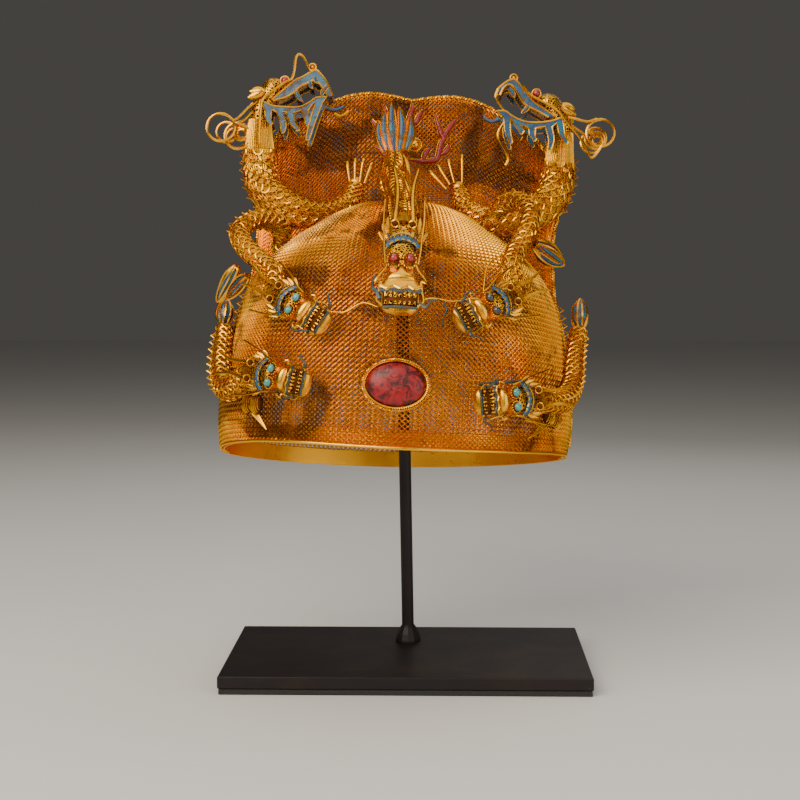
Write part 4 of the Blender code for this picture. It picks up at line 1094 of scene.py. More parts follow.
def make_flames():
    for name, branches in FLAMES.items():
        red, edges = [], []
        for branch in branches:
            path = curved([hill_front(x * MM, z * MM, FLAME_LIFT) for x, z in branch])
            count = len(path)
            radii = []
            for k in range(count):
                full = 0.42 + 2.2 * min(k, count - 1 - k) / count
                radii.append(FLAME_RADIUS * min(1.0, full))
            red.append((path, radii))
            for side in (-1, 1):
                rail = []
                for k, spot in enumerate(path):
                    ahead = (path[min(k + 1, count - 1)] - path[max(k - 1, 0)]).normalized()
                    across = ahead.cross(Vector((0, -1, 0))).normalized()
                    rail.append(spot + side * across * radii[k] * 1.05)
                edges.append((rail, FLAME_EDGE))
        flame = bent_wires(name, red, 2)
        dressed(flame, f"{name}_enamel", "red_enamel", [name], angle=60)
        dressed(bent_wires(name, edges, 1), f"{name}_edges", "gold")
    at = hill_front(PEARL_AT[0] * MM, PEARL_AT[1] * MM, 0.0022)
    pearl = ball(PEARL_RADIUS, Matrix.Translation(at))
    dressed(pearl, "fire_pearl", "polished_gold", ["pearl"], angle=60)
    parts = []
    for major, z in ((0.0031, -0.0012), (0.0040, -0.0004)):
        turn = Matrix.Translation(at + Vector((0, -z, 0))) @ Matrix.Rotation(math.pi / 2, 4, "X")
        parts.append(ring(major, 0.00048, turn))
    dressed(joined(parts), "pearl_rings", "gold", angle=60)


# The neck in lengths of the head: where the body's own path ends, then two more places
NECK_START = -0.70
NECK_AT = (-0.48, -0.34)
NECK_RISE = 0.17
NECK_RADIUS = 0.17


def dome_line(name):
    """Middle points, radii and outward directions of a body on the dome."""
    thick = BODY_RADIUS.get(name, USUAL_RADIUS)
    rows = smooth_rows(BODIES[name], 5)
    points = dome_place(rows[:, 0], rows[:, 1], (rows[:, 2] * thick)[:, None])
    radii = rows[:, 3] * thick
    outward = dome_out(rows[:, 0], rows[:, 1])
    place = head_place(name)
    inside, size = place.inverted(), HEADS[name][5]
    points, radii, outward = list(points), list(radii), list(outward)
    while (inside @ Vector(points[-1])).x > NECK_START:
        for values in (points, radii, outward):
            values.pop()
    for x in NECK_AT:
        points.append(np.array(place @ Vector((x, 0, NECK_RISE))))
        radii.append(NECK_RADIUS * size)
        outward.append(np.array(place.col[2][:3]) / size)
    return points, radii, np.array(outward)


def head_place(name):
    azimuth, share, lift, heading, pitch, size = HEADS[name]
    return dome_frame(azimuth, share, lift, heading, pitch, size)


def make_dome_bodies():
    for name in BODIES:
        body = Body(*dome_line(name))
        core = body.core(name)
        dressed(core, f"{name}_core", "ribbed_gold", [f"{name}_body"], angle=60)
        lines = body.scales(
            width=0.0046, first=0.003, last=body.length - 0.002, spread=2.5, wire=0.00044,
            flow=1, ribs=2,
        )
        if name == "centre":
            for turn in np.linspace(-1.35, 1.35, 8):
                along = np.linspace(0.002, body.length - 0.022, 24)
                sway = turn + 0.22 * np.sin(along / 0.009 + 3 * turn)
                lines.append((body.place(along, sway, 0.0016 + 0.0006 * np.cos(5 * turn)), 0.0007))
        else:
            lines.append(body.spines(
                first=0.004, last=body.length - 0.012, pitch=0.0046, height=0.0026, angle=0.25,
                wire=0.00045,
            ))
        scales = bent_wires(name, lines, 0)
        dressed(scales, f"{name}_scales", "gold")


# Points of a box's ring, and the power that squares its corners
BOX_POINTS = 16
BOX_POWER = 0.72


def box_ring(x, half, low, high):
    points = []
    for k in range(BOX_POINTS):
        turn = 2 * math.pi * (k + 0.5) / BOX_POINTS
        y = math.copysign(abs(math.cos(turn)) ** BOX_POWER, math.cos(turn))
        z = math.copysign(abs(math.sin(turn)) ** BOX_POWER, math.sin(turn))
        points.append(Vector((x, half * y, (low + high) / 2 + (high - low) / 2 * z)))
    return points


def box_loft(rows):
    """A round-cornered box along x, from rows of place, half width, foot and top."""
    return lofted("loft", [box_ring(*row) for row in smooth_rows(rows, 3)])


# Loose ends of the lips, one on each side of a head
TENDRILS = {
    1: ((0.84, 0.21, 0.22), (0.91, 0.30, 0.24), (0.82, 0.36, 0.27), (0.79, 0.45, 0.29)),
    -1: ((0.78, -0.23, 0.22), (0.66, -0.27, 0.25), (0.60, -0.32, 0.25), (0.46, -0.34, 0.28)),
}
# Upper and lower teeth: places along and up, and the radius at each
TEETH = (
    (((0.66, 0.25), (0.70, 0.255), (0.74, 0.23)), (0.028, 0.026, 0.012)),
    (((0.88, 0.22), (0.84, 0.24), (0.80, 0.225)), (0.024, 0.022, 0.012)),
)
# Horn before it is stretched: along, out and up, and its radius
HORN = (
    (-0.20, 0.13, 0.41, 0.060), (-0.24, 0.13, 0.40, 0.040), (-0.32, 0.128, 0.40, 0.032),
    (-0.50, 0.110, 0.42, 0.032), (-0.70, 0.12, 0.45, 0.028), (-0.92, 0.18, 0.48, 0.014),
)
HORN_ROOT = -0.20
BROW_HALF = 0.27
LIP_HALF = 0.235


def dome_head_parts(horn_stretch, whisker_reach):
    """The parts of a head in its own lengths, as one piece for each finish."""
    gold_parts, wires, blue, grey = [], [], [], []
    gold_parts.append(box_loft((
        (-0.36, 0.17, 0.00, 0.20), (-0.25, 0.21, 0.00, 0.27), (-0.05, 0.24, 0.00, 0.30),
        (0.05, 0.24, 0.00, 0.30), (0.18, 0.22, 0.02, 0.27), (0.28, 0.19, 0.05, 0.20),
        (0.34, 0.18, 0.06, 0.19), (0.42, 0.20, 0.08, 0.26), (0.58, 0.225, 0.12, 0.29),
        (0.64, 0.21, 0.14, 0.27),
    )))
    gold_parts.append(box_loft((
        (0.04, 0.17, 0.02, 0.10), (0.45, 0.20, 0.02, 0.10), (0.82, 0.22, 0.02, 0.13),
        (0.87, 0.22, 0.03, 0.20), (0.92, 0.20, 0.05, 0.23), (0.96, 0.14, 0.08, 0.19),
    )))
    netted = box_loft((
        (-0.40, 0.18, 0.02, 0.24), (-0.28, 0.22, 0.02, 0.33), (-0.12, 0.23, 0.02, 0.35),
        (0.05, 0.23, 0.04, 0.35), (0.16, 0.22, 0.06, 0.34), (0.22, 0.19, 0.08, 0.30),
    ))
    nose = box_loft((
        (0.27, 0.035, 0.15, 0.25), (0.33, 0.055, 0.15, 0.31), (0.40, 0.10, 0.15, 0.335),
        (0.46, 0.17, 0.14, 0.345), (0.51, 0.185, 0.13, 0.32), (0.54, 0.14, 0.13, 0.27),
    ))
    # Painted shade: the inside of the mouth, and below a flat ball in each horn's cup and a ring
    # round each eye, are dark pieces where shade falls.
    hollows = [box_loft((
        (0.60, 0.20, 0.09, 0.250), (0.72, 0.205, 0.09, 0.235), (0.87, 0.20, 0.09, 0.225),
    ))]
    for low, high, radius, finish in ((0.00, 0.0, 0.034, blue), (-0.055, 0.012, 0.014, None)):
        arch = []
        for y in np.linspace(-BROW_HALF, BROW_HALF, 13):
            bow = 1 - (y / BROW_HALF) ** 2
            jag = 0.034 * (len(arch) % 2) if finish is not None else 0.0
            arch.append(Vector((0.075 + low + jag - 0.09 * bow, y, 0.30 + high + 0.085 * bow)))
        if finish is None:
            wires.append((arch, radius))
            wires.append(([p + Vector((0.095, 0, -0.004)) for p in arch], radius))
        else:
            finish.append(bent_wires("brow", [(arch, radius)], 2))
            for k in range(1, 12):
                root = arch[k]
                out = Vector((-0.11, 0.10 * root.y / BROW_HALF, 0.01))
                grey.append(bent_wires("tooth", [([root, root + out], [0.020, 0.008])], 0))
    for side in (-1, 1):
        horn, radii = [], []
        for x, y, z, radius in HORN:
            x = HORN_ROOT + (x - HORN_ROOT) * horn_stretch
            horn.append(Vector((x, side * y, z)))
            radii.append(radius)
        path = curved(horn, 3)
        wires.append((path, smooth_rows([(radius,) for radius in radii], 3)[:, 0]))
        cup = Matrix.Translation(horn[0]) @ Matrix.Rotation(math.pi / 2.6, 4, "Y")
        gold_parts.append(ring(0.056, 0.014, cup, 20, 8))
        hollows.append(ball(0.052, cup @ Matrix.Diagonal((1, 1, 0.3, 1)), 16, 8))
        whisker = curved([
            (-0.66, side * whisker_reach, 0.26), (-0.14, side * (0.18 + whisker_reach * 0.4), 0.34),
            (0.12, side * 0.28, 0.35), (0.30, side * 0.24, 0.33),
        ])
        wires.append((whisker, 0.016))
        curl = curved([
            (0.30, side * 0.21, 0.30), (0.48, side * 0.27, 0.33), (0.56, side * 0.30, 0.30),
            (0.54, side * 0.25, 0.27), (0.62, side * 0.24, 0.25), (0.80, side * 0.27, 0.22),
            (0.93, side * 0.21, 0.25),
        ])
        wires.append((curl, 0.015))
        path = curved(TENDRILS[side])
        grey.append(bent_wires("tendril", [(path, np.linspace(0.030, 0.012, len(path)))], 1))
        eye = Vector((0.25, side * 0.115, 0.34))
        socket = [
            eye + Vector((-0.02, 0, -0.17)), eye + Vector((-0.01, 0, -0.05)),
            eye + Vector((0, 0, -0.02)),
        ]
        wires.append((socket, [0.110, 0.098, 0.080]))
        hollows.append(ring(0.068, 0.010, Matrix.Translation(eye), 20, 6))
        for k in range(14):
            turn = 2 * math.pi * k / 14
            bead = eye + Vector((0.094 * math.cos(turn), 0.094 * math.sin(turn), -0.018))
            gold_parts.append(ball(0.017, Matrix.Translation(bead), 6, 4))
        for k in range(3):
            fan = math.radians(125 + 28 * k)
            root = Vector((-0.06 - 0.05 * k, side * 0.23, 0.16 + 0.03 * k))
            tip = root + 0.22 * Vector((math.cos(fan), side * abs(math.sin(fan)) * 0.8, 0.30))
            path = [root, root.lerp(tip, 0.5), tip]
            gold_parts.append(leaf(path, 0.085, 0.02, Vector((0, 0, 1)))[0])
    for x, z, radius, parts in ((0.60, 0.285, 0.018, None), (0.645, 0.268, 0.026, grey)):
        scroll = []
        for y in np.linspace(-LIP_HALF, LIP_HALF, 25):
            wave = 0.016 * math.cos(y / LIP_HALF * math.pi * 3)
            scroll.append(Vector((x + wave, y, z - 0.5 * y * y)))
        if parts is None:
            wires.append((scroll, radius))
        else:
            parts.append(bent_wires("lip", [(scroll, radius)], 1))
    rim = curved([(0.925, y, 0.215 + 0.5 * (0.04 - y * y)) for y in np.linspace(-0.20, 0.20, 7)], 2)
    grey.append(bent_wires("lower_lip", [(rim, 0.020)], 1))
    teeth = []
    for k in range(7):
        y = -0.165 + 0.33 * k / 6
        for spots, radii in TEETH:
            teeth.append(([Vector((x, y, z)) for x, z in spots], radii))
    netted = joined([netted, bent_wires("teeth", teeth, 1)])
    gold_parts.append(bent_wires("head_wires", wires, 1))
    return {
        "gold": joined(gold_parts), "netted_gold": netted, "polished_gold": nose,
        "blue_enamel": joined(blue), "grey_enamel": joined(grey), "dark_hollow": joined(hollows),
    }


# Eyes not in the turquoise finish: the centre's are red glass, and the upper right dragon's are
# dark grey glass, painted shade on eyes that lie in shadow
EYE_FINISH = {"centre": "red_glass", "upper_right": "painted_shade_glass"}
EYE_RADIUS = 0.066
# The word in a piece's name for each finish of a head
HEAD_WORDS = {
    "gold": "head", "netted_gold": "hood", "polished_gold": "nose", "blue_enamel": "brow",
    "grey_enamel": "lips", "dark_hollow": "hollows",
}
# Scale of a head's length and height, where it isn't as the others are
HEAD_STRETCH = {"centre": (1.32, 0.84)}


def stretched(name):
    long, high = HEAD_STRETCH.get(name, (1.0, 1.0))
    return head_place(name) @ Matrix.Diagonal((long, 1, high, 1))


# Places along a head, and where they stand on the centre head, whose snout is longer
SNOUT_FROM = (-2.0, 0.075, 0.25, 0.33, 0.54, 0.60, 0.65, 0.74, 0.80, 0.88, 0.925, 2.0)
SNOUT_TO = (-2.0, 0.075, 0.285, 0.40, 0.57, 0.66, 0.72, 0.79, 0.83, 0.88, 0.925, 2.0)
# How much wider the centre head is, at places along it
SNOUT_AT = (-0.3, 0.0, 0.45, 0.66, 1.0)
SNOUT_WIDTH = (1.0, 0.92, 1.0, 1.26, 1.20)


def lengthen_snout(mesh):
    """Moves the nose and lips of the centre head forward and widens its mouth."""
    for vertex in mesh.vertices:
        x = float(np.interp(vertex.co.x, SNOUT_FROM, SNOUT_TO))
        vertex.co.y *= float(np.interp(x, SNOUT_AT, SNOUT_WIDTH))
        vertex.co.x = x


def make_dome_heads():
    side_heads = [n for n in HEADS if n != "centre"]
    for horn, reach, names in ((1.0, 0.46, side_heads), (1.15, 0.29, ["centre"])):
        parts = dome_head_parts(horn, reach)
        for name in names:
            place = stretched(name)
            for finish, part in parts.items():
                copy = link(bpy.data.objects.new("copy", part.data.copy()))
                if name == "centre":
                    lengthen_snout(copy.data)
                copy.data.transform(place)
                hides = [f"{name}_head"] if finish == "gold" else ()
                slot = "blue_enamel" if "enamel" in finish else "gold"
                dressed(copy, f"{name}_{HEAD_WORDS[finish]}", finish, hides, angle=50)
            for side, word in ((1, "left"), (-1, "right")):
                ahead = 0.285 if name == "centre" else 0.25
                eye = place @ Vector((ahead, side * 0.115, 0.345))
                glass = EYE_FINISH.get(name, "turquoise")
                slot = "red_enamel" if name == "centre" else "turquoise"
                size = EYE_RADIUS * HEADS[name][5]
                obj = ball(size, Matrix.Translation(eye), 20, 12)
                hides = [f"{name}_eye_{word}"]
                dressed(obj, f"{name}_eyeball_{word}", glass, hides, angle=60)
        for part in parts.values():
            bpy.data.objects.remove(part)


# Wires over the dome: finish, radii at the ends and lift in millimetres, and places
# as azimuth and share
DOME_WIRES = {
    "upper_right": (
        ("polished_gold", 0.50, 0.40, 9.0, (
            (26.5, 0.530), (26.9, 0.560), (27.8, 0.600), (28.8, 0.632), (31.0, 0.665),
            (34.6, 0.688),
        )),
        ("polished_gold", 0.55, 0.45, 8.5, (
            (27.7, 0.517), (25.8, 0.528), (23.5, 0.533), (17.2, 0.515), (13.0, 0.519),
            (10.2, 0.520), (8.3, 0.514),
        )),
        ("grey_enamel", 1.10, 0.70, 8.0, (
            (23.8, 0.525), (21.0, 0.508), (18.7, 0.487), (16.8, 0.457),
        )),
        ("grey_enamel", 0.80, 0.50, 8.0, (
            (14.2, 0.508), (15.0, 0.483), (14.1, 0.460), (13.7, 0.429),
        )),
    ),
    "upper_left": (
        ("gold", 0.60, 0.40, 8.0, (
            (-24.9, 0.449), (-19.5, 0.460), (-14.9, 0.460), (-11.2, 0.486), (-8.8, 0.494),
            (-5.2, 0.481),
        )),
    ),
    "lower_right": (
        ("grey_enamel", 1.00, 0.70, 9.5, ((24.2, 0.236), (30.9, 0.250), (39.4, 0.266))),
        ("gold", 0.50, 0.40, 9.0, (
            (30.1, 0.116), (35.0, 0.141), (40.6, 0.138), (45.9, 0.116), (53.4, 0.087),
            (63.6, 0.057),
        )),
    ),
}
# Flat wire spirals: azimuth, share, then lift, half width and half height in
# millimetres, and the way round
SPIRALS = ((38.7, 0.676, 8.0, 7.4, 5.5, 1), (47.6, 0.637, 4.0, 6.8, 7.4, -1))
SPIRAL_TURNS = 2.6
SPIRAL_STEPS = 63
SPIRAL_WIRE = 0.00045
# Feet of the lower dragons: ribbed oval plates, then toes
LEGS = {
    "lower_left": (
        ((-47.2, 0.150), (-43.4, 0.148)),
        ((-46.5, 0.130), (-43.2, 0.096), (-40.2, 0.057)),
    ),
    "lower_right": (
        ((57.2, 0.150), (53.4, 0.160)),
        ((52.5, 0.130), (49.0, 0.098), (45.5, 0.070)),
    ),
}
FOOT_RADIUS = 0.0044
TOE_RADII = (0.0011, 0.0011, 0.0010, 0.0008, 0.0007, 0.0005, 0.0003)


def lay_dome_wires():
    for name, wires in DOME_WIRES.items():
        for k, (finish, first, last, lift, places) in enumerate(wires):
            path = curved([dome_place(a, s, lift * MM) for a, s in places], 5)
            radii = np.linspace(first, last, len(path)) * MM
            slot = "blue_enamel" if "enamel" in finish else "gold"
            wire = bent_wires("whisker", [(path, radii)], 2)
            dressed(wire, f"{name}_whisker_{k + 1}", finish, angle=60)
    lines = []
    for azimuth, share, lift, wide, high, way in SPIRALS:
        place = dome_frame(azimuth, share, lift * MM)
        spiral = []
        for k in range(SPIRAL_STEPS + 1):
            turn = 2 * math.pi * SPIRAL_TURNS * k / SPIRAL_STEPS
            size = 1.0 - 0.86 * k / SPIRAL_STEPS
            x, y = wide * size * math.cos(turn), way * high * size * math.sin(turn)
            spiral.append(place @ (Vector((x, y, 1.2 * (1 - size))) * MM))
        lines.append((spiral, SPIRAL_WIRE))
    dressed(bent_wires("spirals", lines, 1), "upper_right_spirals", "gold")


def make_feet():
    for name, (plates, toes) in LEGS.items():
        ovals, ribs = [], []
        for azimuth, share in plates:
            place = dome_frame(azimuth, share, 0.0042)
            oval = place @ Matrix.Diagonal((0.92, 1.25, 0.70, 1))
            ovals.append(ball(FOOT_RADIUS, oval, 24, 12))
            for k in range(-3, 4):
                reach = FOOT_RADIUS * math.sqrt(1 - (k / 4) ** 2)
                rib = []
                for turn in np.linspace(-1.35, 1.35, 9):
                    across, rise = 1.25 * reach * math.sin(turn), 0.74 * reach * math.cos(turn)
                    rib.append(place @ Vector((0.0041 * k / 4, across, rise)))
                ribs.append((rib, 0.00030))
        for k in (-1, 0, 1):
            path = []
            for n, (azimuth, share) in enumerate(toes):
                path.append(dome_place(azimuth + 0.7 * k * (2 - n), share, 0.0030 - 0.0005 * n))
            ribs.append((curved(path, 3), TOE_RADII))
        # The foot plates are made dark with the painted shade finish.
        dressed(joined(ovals), f"{name}_foot_plates", "dark_hollow", angle=60)
        dressed(bent_wires("ribs", ribs, 1), f"{name}_foot_ribs", "gold")


def finish_blades(name, blades, hides, thick):
    """Enamelled plates with gold wire round them; a blade has points, width and face."""
    plates, edges = [], []
    for points, width, face in blades:
        plate, outline = leaf(points, width, thick, face)
        plates.append(plate)
        raised = face.normalized() * thick * 0.45
        edges.append(([p + raised for p in outline + outline[:1]], 0.00030 + 0.28 * thick))
        edges.append(([p + raised for p in curved(points, 3)], 0.00026))
    dressed(joined(plates), f"{name}_blades", "blue_enamel", hides, angle=50)
    dressed(bent_wires("edges", edges, 0), f"{name}_blade_edges", "gold")


def bud_petals(root, tip, out, wide, count):
    """Petals round an axis that close to a pointed bud."""
    axis = tip - root
    side = axis.cross(out).normalized()
    petals = []
    for k in range(count):
        turn = 2 * math.pi * (k + 0.25) / count
        off = math.cos(turn) * side + 0.62 * math.sin(turn) * out.normalized()
        end = root + axis * (1.0 - 0.10 * (k % 2)) + off * wide * 0.10
        points = [
            root + off * wide * 0.12, root + axis * 0.30 + off * wide * 0.40,
            root + axis * 0.66 + off * wide * 0.36, end,
        ]
        petals.append((points, wide * 0.62, off))
    return petals


PETAL_THICK = 0.0011
LEAF_THICK = 0.0016
STEM_RADIUS = 0.0011
# The plane in which the centre tail's leaves stand
LEAF_PLANE = 0.0125


def make_tails():
    for name, buds in TAILS.items():
        petals = []
        for start, end, wide, count in buds:
            root = Vector(dome_place(start[0], start[1], start[2] * USUAL_RADIUS))
            tip = Vector(dome_place(end[0], end[1], end[2] * USUAL_RADIUS))
            petals += bud_petals(root, tip, Vector(dome_out(start[0], start[1])), wide, count)
        finish_blades(name, petals, [f"{name}_tail"], PETAL_THICK)
    blades = []
    for root, middle, tip, width in CENTRE_LEAVES:
        points = [Vector((x * MM, LEAF_PLANE, z * MM - 0.001)) for x, z in (root, middle, tip)]
        blades.append((points, width * MM, Vector((0, -1, 0))))
    finish_blades("centre", blades, ["centre_tail"], LEAF_THICK)
    azimuth, share, lift = BODIES["centre"][0][:3]
    foot = Vector(dome_place(azimuth, share, lift * BODY_RADIUS["centre"]))
    stems = []
    for points, _, _ in blades:
        middle = (foot + points[0]) / 2 + Vector((0, 0, 0.002))
        stems.append((curved([foot, middle, points[0]]), STEM_RADIUS))
    dressed(bent_wires("stems", stems, 1), "centre_tail_stems", "gold")


CLAW_RADII = (0.0010, 0.0011, 0.0013, 0.0013, 0.0005)


def make_hill_bodies():
    for side, name in ((-1, "rear_left"), (1, "rear_right")):
        rows = smooth_rows(REAR_BODY, 5)
        points = []
        for out, up, lift in rows[:, :3]:
            across = -side * out * HILL_HALF_WIDTH
            points.append(hill_front(across, up * HILL_HEIGHT, lift * REAR_RADIUS))
        outward = np.tile(np.array([0.0, -1.0, 0.0]), (len(rows), 1))
        body = Body(points, rows[:, 3] * REAR_RADIUS, outward)
        core = body.core(name, 26)
        dressed(core, f"{name}_core", "ribbed_gold", [f"{name}_body"], angle=60)
        lines = body.scales(
            width=0.0056, first=0.018, last=body.length - 0.002, spread=2.2, wire=0.00054, flow=-1
        )
        for turn in np.linspace(-2.1, 2.1, 30):
            along = np.linspace(0.0, 0.0175, 8)
            lines.append((body.place(along, np.full(8, turn), 0.0), 0.00026))
        lines.append(body.spines(
            first=0.014, last=body.length * 0.66, pitch=0.0046, height=0.0028,
            angle=-side * 1.50, wire=0.00042,
        ))
        dressed(bent_wires(name, lines, 0), f"{name}_scales", "gold")
        rods = []
        for root, tip in CLAWS[name]:
            root = hill_front(root[0] * MM, root[1] * MM, 0.0030)
            tip = hill_front(tip[0] * MM, tip[1] * MM, 0.0026)
            path = [root, root.lerp(tip, 0.4), root.lerp(tip, 0.75), root.lerp(tip, 0.94), tip]
            rods.append((path, CLAW_RADII))
        paw = hill_front(side * 0.335 * HILL_HALF_WIDTH, 0.742 * HILL_HEIGHT, 0.0)
        palm = ball(0.0046, Matrix.Translation(paw) @ Matrix.Diagonal((1.1, 0.8, 1.0, 1)))
        parts = [bent_wires("claws", rods, 2), palm]
        dressed(joined(parts), f"{name}_claws", "gold", angle=50)


# The heads on the hill in profile, as lines across and up in millimetres
HILL_HEADS = {
    "rear_left": {
        "jaw_top": (
            (-84.4, 214.5), (-80.7, 218.3), (-76.2, 222.6), (-71.7, 226.9), (-67.1, 229.1),
            (-62.5, 232.2), (-58.6, 234.0), (-56.2, 232.1), (-52.7, 228.1), (-49.7, 223.0),
            (-47.5, 218.6),
        ),
        "jaw_low": (
            (-83.6, 213.7), (-80.0, 215.2), (-75.8, 216.5), (-71.3, 219.9), (-67.7, 223.5),
            (-63.5, 225.6), (-59.9, 227.7), (-57.8, 226.6), (-56.0, 225.3), (-52.7, 221.0),
            (-50.7, 217.9),
        ),
        "lip": (
            (-92.0, 214.0), (-88.3, 212.6), (-83.4, 210.8), (-75.5, 210.4), (-67.6, 210.8),
            (-62.2, 213.5), (-57.7, 216.9), (-51.4, 217.6),
        ),
        "fangs": (
            ((-70.3, 220.2), (-65.8, 214.1)), ((-62.1, 227.3), (-60.2, 222.5)),
            ((-59.4, 229.9), (-57.0, 225.9)), ((-51.0, 224.6), (-54.6, 217.9)),
        ),
        "wires": (
            (
                (-90.9, 186.9), (-91.2, 196.0), (-91.1, 207.2), (-90.0, 214.6), (-84.0, 219.8),
                (-77.2, 225.3), (-73.0, 228.0), (-71.7, 234.2), (-71.3, 240.7), (-69.5, 243.1),
                (-67.0, 241.7), (-64.4, 237.8), (-63.5, 235.4),
            ),
            ((-46.1, 207.8), (-42.0, 206.3), (-37.5, 209.7)),
            ((-93.8, 213.6), (-99.0, 209.5), (-104.3, 203.4), (-108.0, 201.0)),
            ((-93.6, 209.5), (-97.5, 206.5), (-101.8, 201.9), (-104.8, 200.9)),
        ),
        "beard": (
            ((-86.5, 209.9), (-84.7, 198.7)), ((-79.4, 209.4), (-76.9, 194.2)),
            ((-73.1, 209.7), (-68.3, 195.8)), ((-64.4, 210.1), (-62.4, 199.2)),
            ((-56.0, 213.6), (-61.5, 190.5)),
        ),
        "tongue": ((-51.8, 212.3), (-45.5, 211.0), (-40.9, 213.7)),
        "forehead": ((-84.5, 223.5), (7.6, 6.6)),
        "ear": ((-89.9, 219.9), (-99.3, 217.0)),
        "eye": (-77.5, 227.0),
        "nostril": (-61.1, 236.3),
        "curls": (
            (-115.3, 197.2, 8.5), (-104.8, 192.9, 8.0), (-103.0, 195.4, 4.6),
            (-103.0, 195.4, 2.8), (-112.6, 196.4, 6.2), (-106.6, 193.6, 6.3),
        ),
        "neck": (-90.5, 212.0),
    },
    "rear_right": {
        "jaw_top": (
            (52.4, 227.7), (56.6, 231.5), (60.9, 233.5), (64.5, 231.4), (69.1, 225.8),
            (74.5, 219.9), (79.9, 216.5), (87.0, 211.9),
        ),
        "jaw_low": (
            (53.5, 223.3), (55.9, 228.8), (60.2, 229.9), (64.8, 223.9), (67.6, 219.5),
            (71.2, 217.0), (76.5, 214.6), (83.5, 211.0),
        ),
        "lip": (
            (91.5, 211.5), (85.4, 209.0), (76.8, 207.6), (68.9, 207.8), (61.8, 210.6),
            (57.4, 213.6), (52.2, 213.6),
        ),
        "fangs": (((58.5, 228.0), (62.2, 222.4)), ((71.1, 217.9), (67.0, 212.8))),
        "wires": (
            (
                (68.0, 229.4), (70.9, 225.0), (76.2, 221.7), (83.3, 218.5), (90.4, 213.5),
                (95.9, 206.6), (102.2, 199.8), (106.7, 192.9), (109.9, 187.3), (112.9, 189.6),
                (116.2, 195.1),
            ),
            ((52.4, 227.7), (50.9, 223.2), (51.8, 220.6), (55.5, 215.4), (56.9, 213.7)),
            (
                (57.5, 208.3), (53.5, 201.0), (54.6, 195.8), (58.3, 189.8), (60.2, 184.6),
                (58.6, 180.9),
            ),
            ((88.0, 212.0), (97.0, 212.5), (107.0, 210.5), (113.0, 212.5)),
            ((88.0, 210.5), (97.0, 208.5), (106.0, 203.0), (109.0, 199.5)),
        ),
        "beard": (
            ((58.4, 206.5), (61.1, 193.9)), ((64.6, 205.5), (67.5, 199.9)),
            ((73.9, 204.0), (75.5, 195.9)), ((83.8, 203.3), (85.1, 191.0)),
            ((90.6, 206.3), (94.6, 195.0)),
        ),
        "tongue": ((54.0, 209.9), (49.8, 208.0), (45.4, 209.5), (44.4, 212.2)),
        "forehead": ((83.5, 221.5), (7.4, 6.2)),
        "ear": ((91.1, 218.8), (100.0, 214.6)),
        "eye": (75.6, 225.7),
        "nostril": (61.5, 235.0),
        "curls": (
            (115.5, 203.9, 8.4), (110.5, 198.5, 6.4), (114.0, 201.0, 4.4), (114.0, 201.0, 2.6),
            (113.4, 202.6, 6.4),
        ),
        "neck": (90.5, 211.0),
    },
}
# The heads stand in a plane, with a half depth before and behind it
HEAD_PLANE = 0.0325
HEAD_HALF_DEPTH = 0.0082
JAW_HALF_THICK = 0.0006
BEARD_THICK = 0.0012
THROAT_RADIUS = 0.0072
JAW_WIRE = 0.00062
LIP_WIRE = 0.00055
FANG_WIRE = 0.00032
FACE_WIRE = 0.00080
BEARD_WIRE = 0.00042
CURL_WIRE = 0.00085
CURL_TURNS = 1.08
CURL_STEPS = 24
# Half the width of a beard's finger, in millimetres
FINGER_HALF = 2.0


def profile(points, y, steps=3):
    """A line of the profile at a depth, in metres."""
    return curved([Vector((x * MM, y, z * MM)) for x, z in points], steps)


def band(top, low, near, far):
    """A plate between two lines of a profile, from one depth to another."""
    rings = []
    for a, b in zip(top, low):
        rings.append([
            Vector((a.x, near, a.z)), Vector((b.x, near, b.z)),
            Vector((b.x, far, b.z)), Vector((a.x, far, a.z)),
        ])
    return lofted("band", rings)


def comb_outline(lip, fingers):
    """A beard's outline across and up: the lip above, wavy fingers below."""
    top = smooth_rows(lip, 3)
    top = top[np.argsort(top[:, 0])]
    order = sorted(fingers, key=lambda pair: pair[0][0], reverse=True)
    lower = []
    for k, (root, tip) in enumerate(order):
        wide = FINGER_HALF
        sway = 1.2 if k % 2 else -0.6
        up = float(np.interp(root[0], top[:, 0], top[:, 1])) - 4.2
        middle = (0.5 * (root[0] + tip[0]) + sway, 0.5 * (up + tip[1]))
        blunt = tip[1] + 1.5
        right = (
            (root[0] + wide, up + 0.8), (middle[0] + wide * 0.86, middle[1]),
            (tip[0] + wide * 0.60, blunt), (tip[0] + wide * 0.25, tip[1]),
        )
        left = (
            (tip[0] - wide * 0.25, tip[1]), (tip[0] - wide * 0.60, blunt),
            (middle[0] - wide * 0.86, middle[1]), (root[0] - wide, up + 0.8),
        )
        lower += [tuple(p) for p in smooth_rows(right, 4)]
        lower += [tuple(p) for p in smooth_rows(left, 4)]
        if k + 1 < len(order):
            gap = 0.5 * (root[0] + order[k + 1][0][0])
            lower.append((gap, float(np.interp(gap, top[:, 0], top[:, 1])) - 3.0))
    return [(x * MM, z * MM) for x, z in [tuple(p) for p in top] + lower]


def cut_plate(outline, near, far):
    """A flat plate of any outline between two depths."""
    count = len(outline)
    verts = [(x, near, z) for x, z in outline] + [(x, far, z) for x, z in outline]
    faces = [tuple(range(count)), tuple(range(2 * count - 1, count - 1, -1))]
    for k in range(count):
        n = (k + 1) % count
        faces.append((k, n, n + count, k + count))
    return recalculated(from_faces("plate", verts, faces))


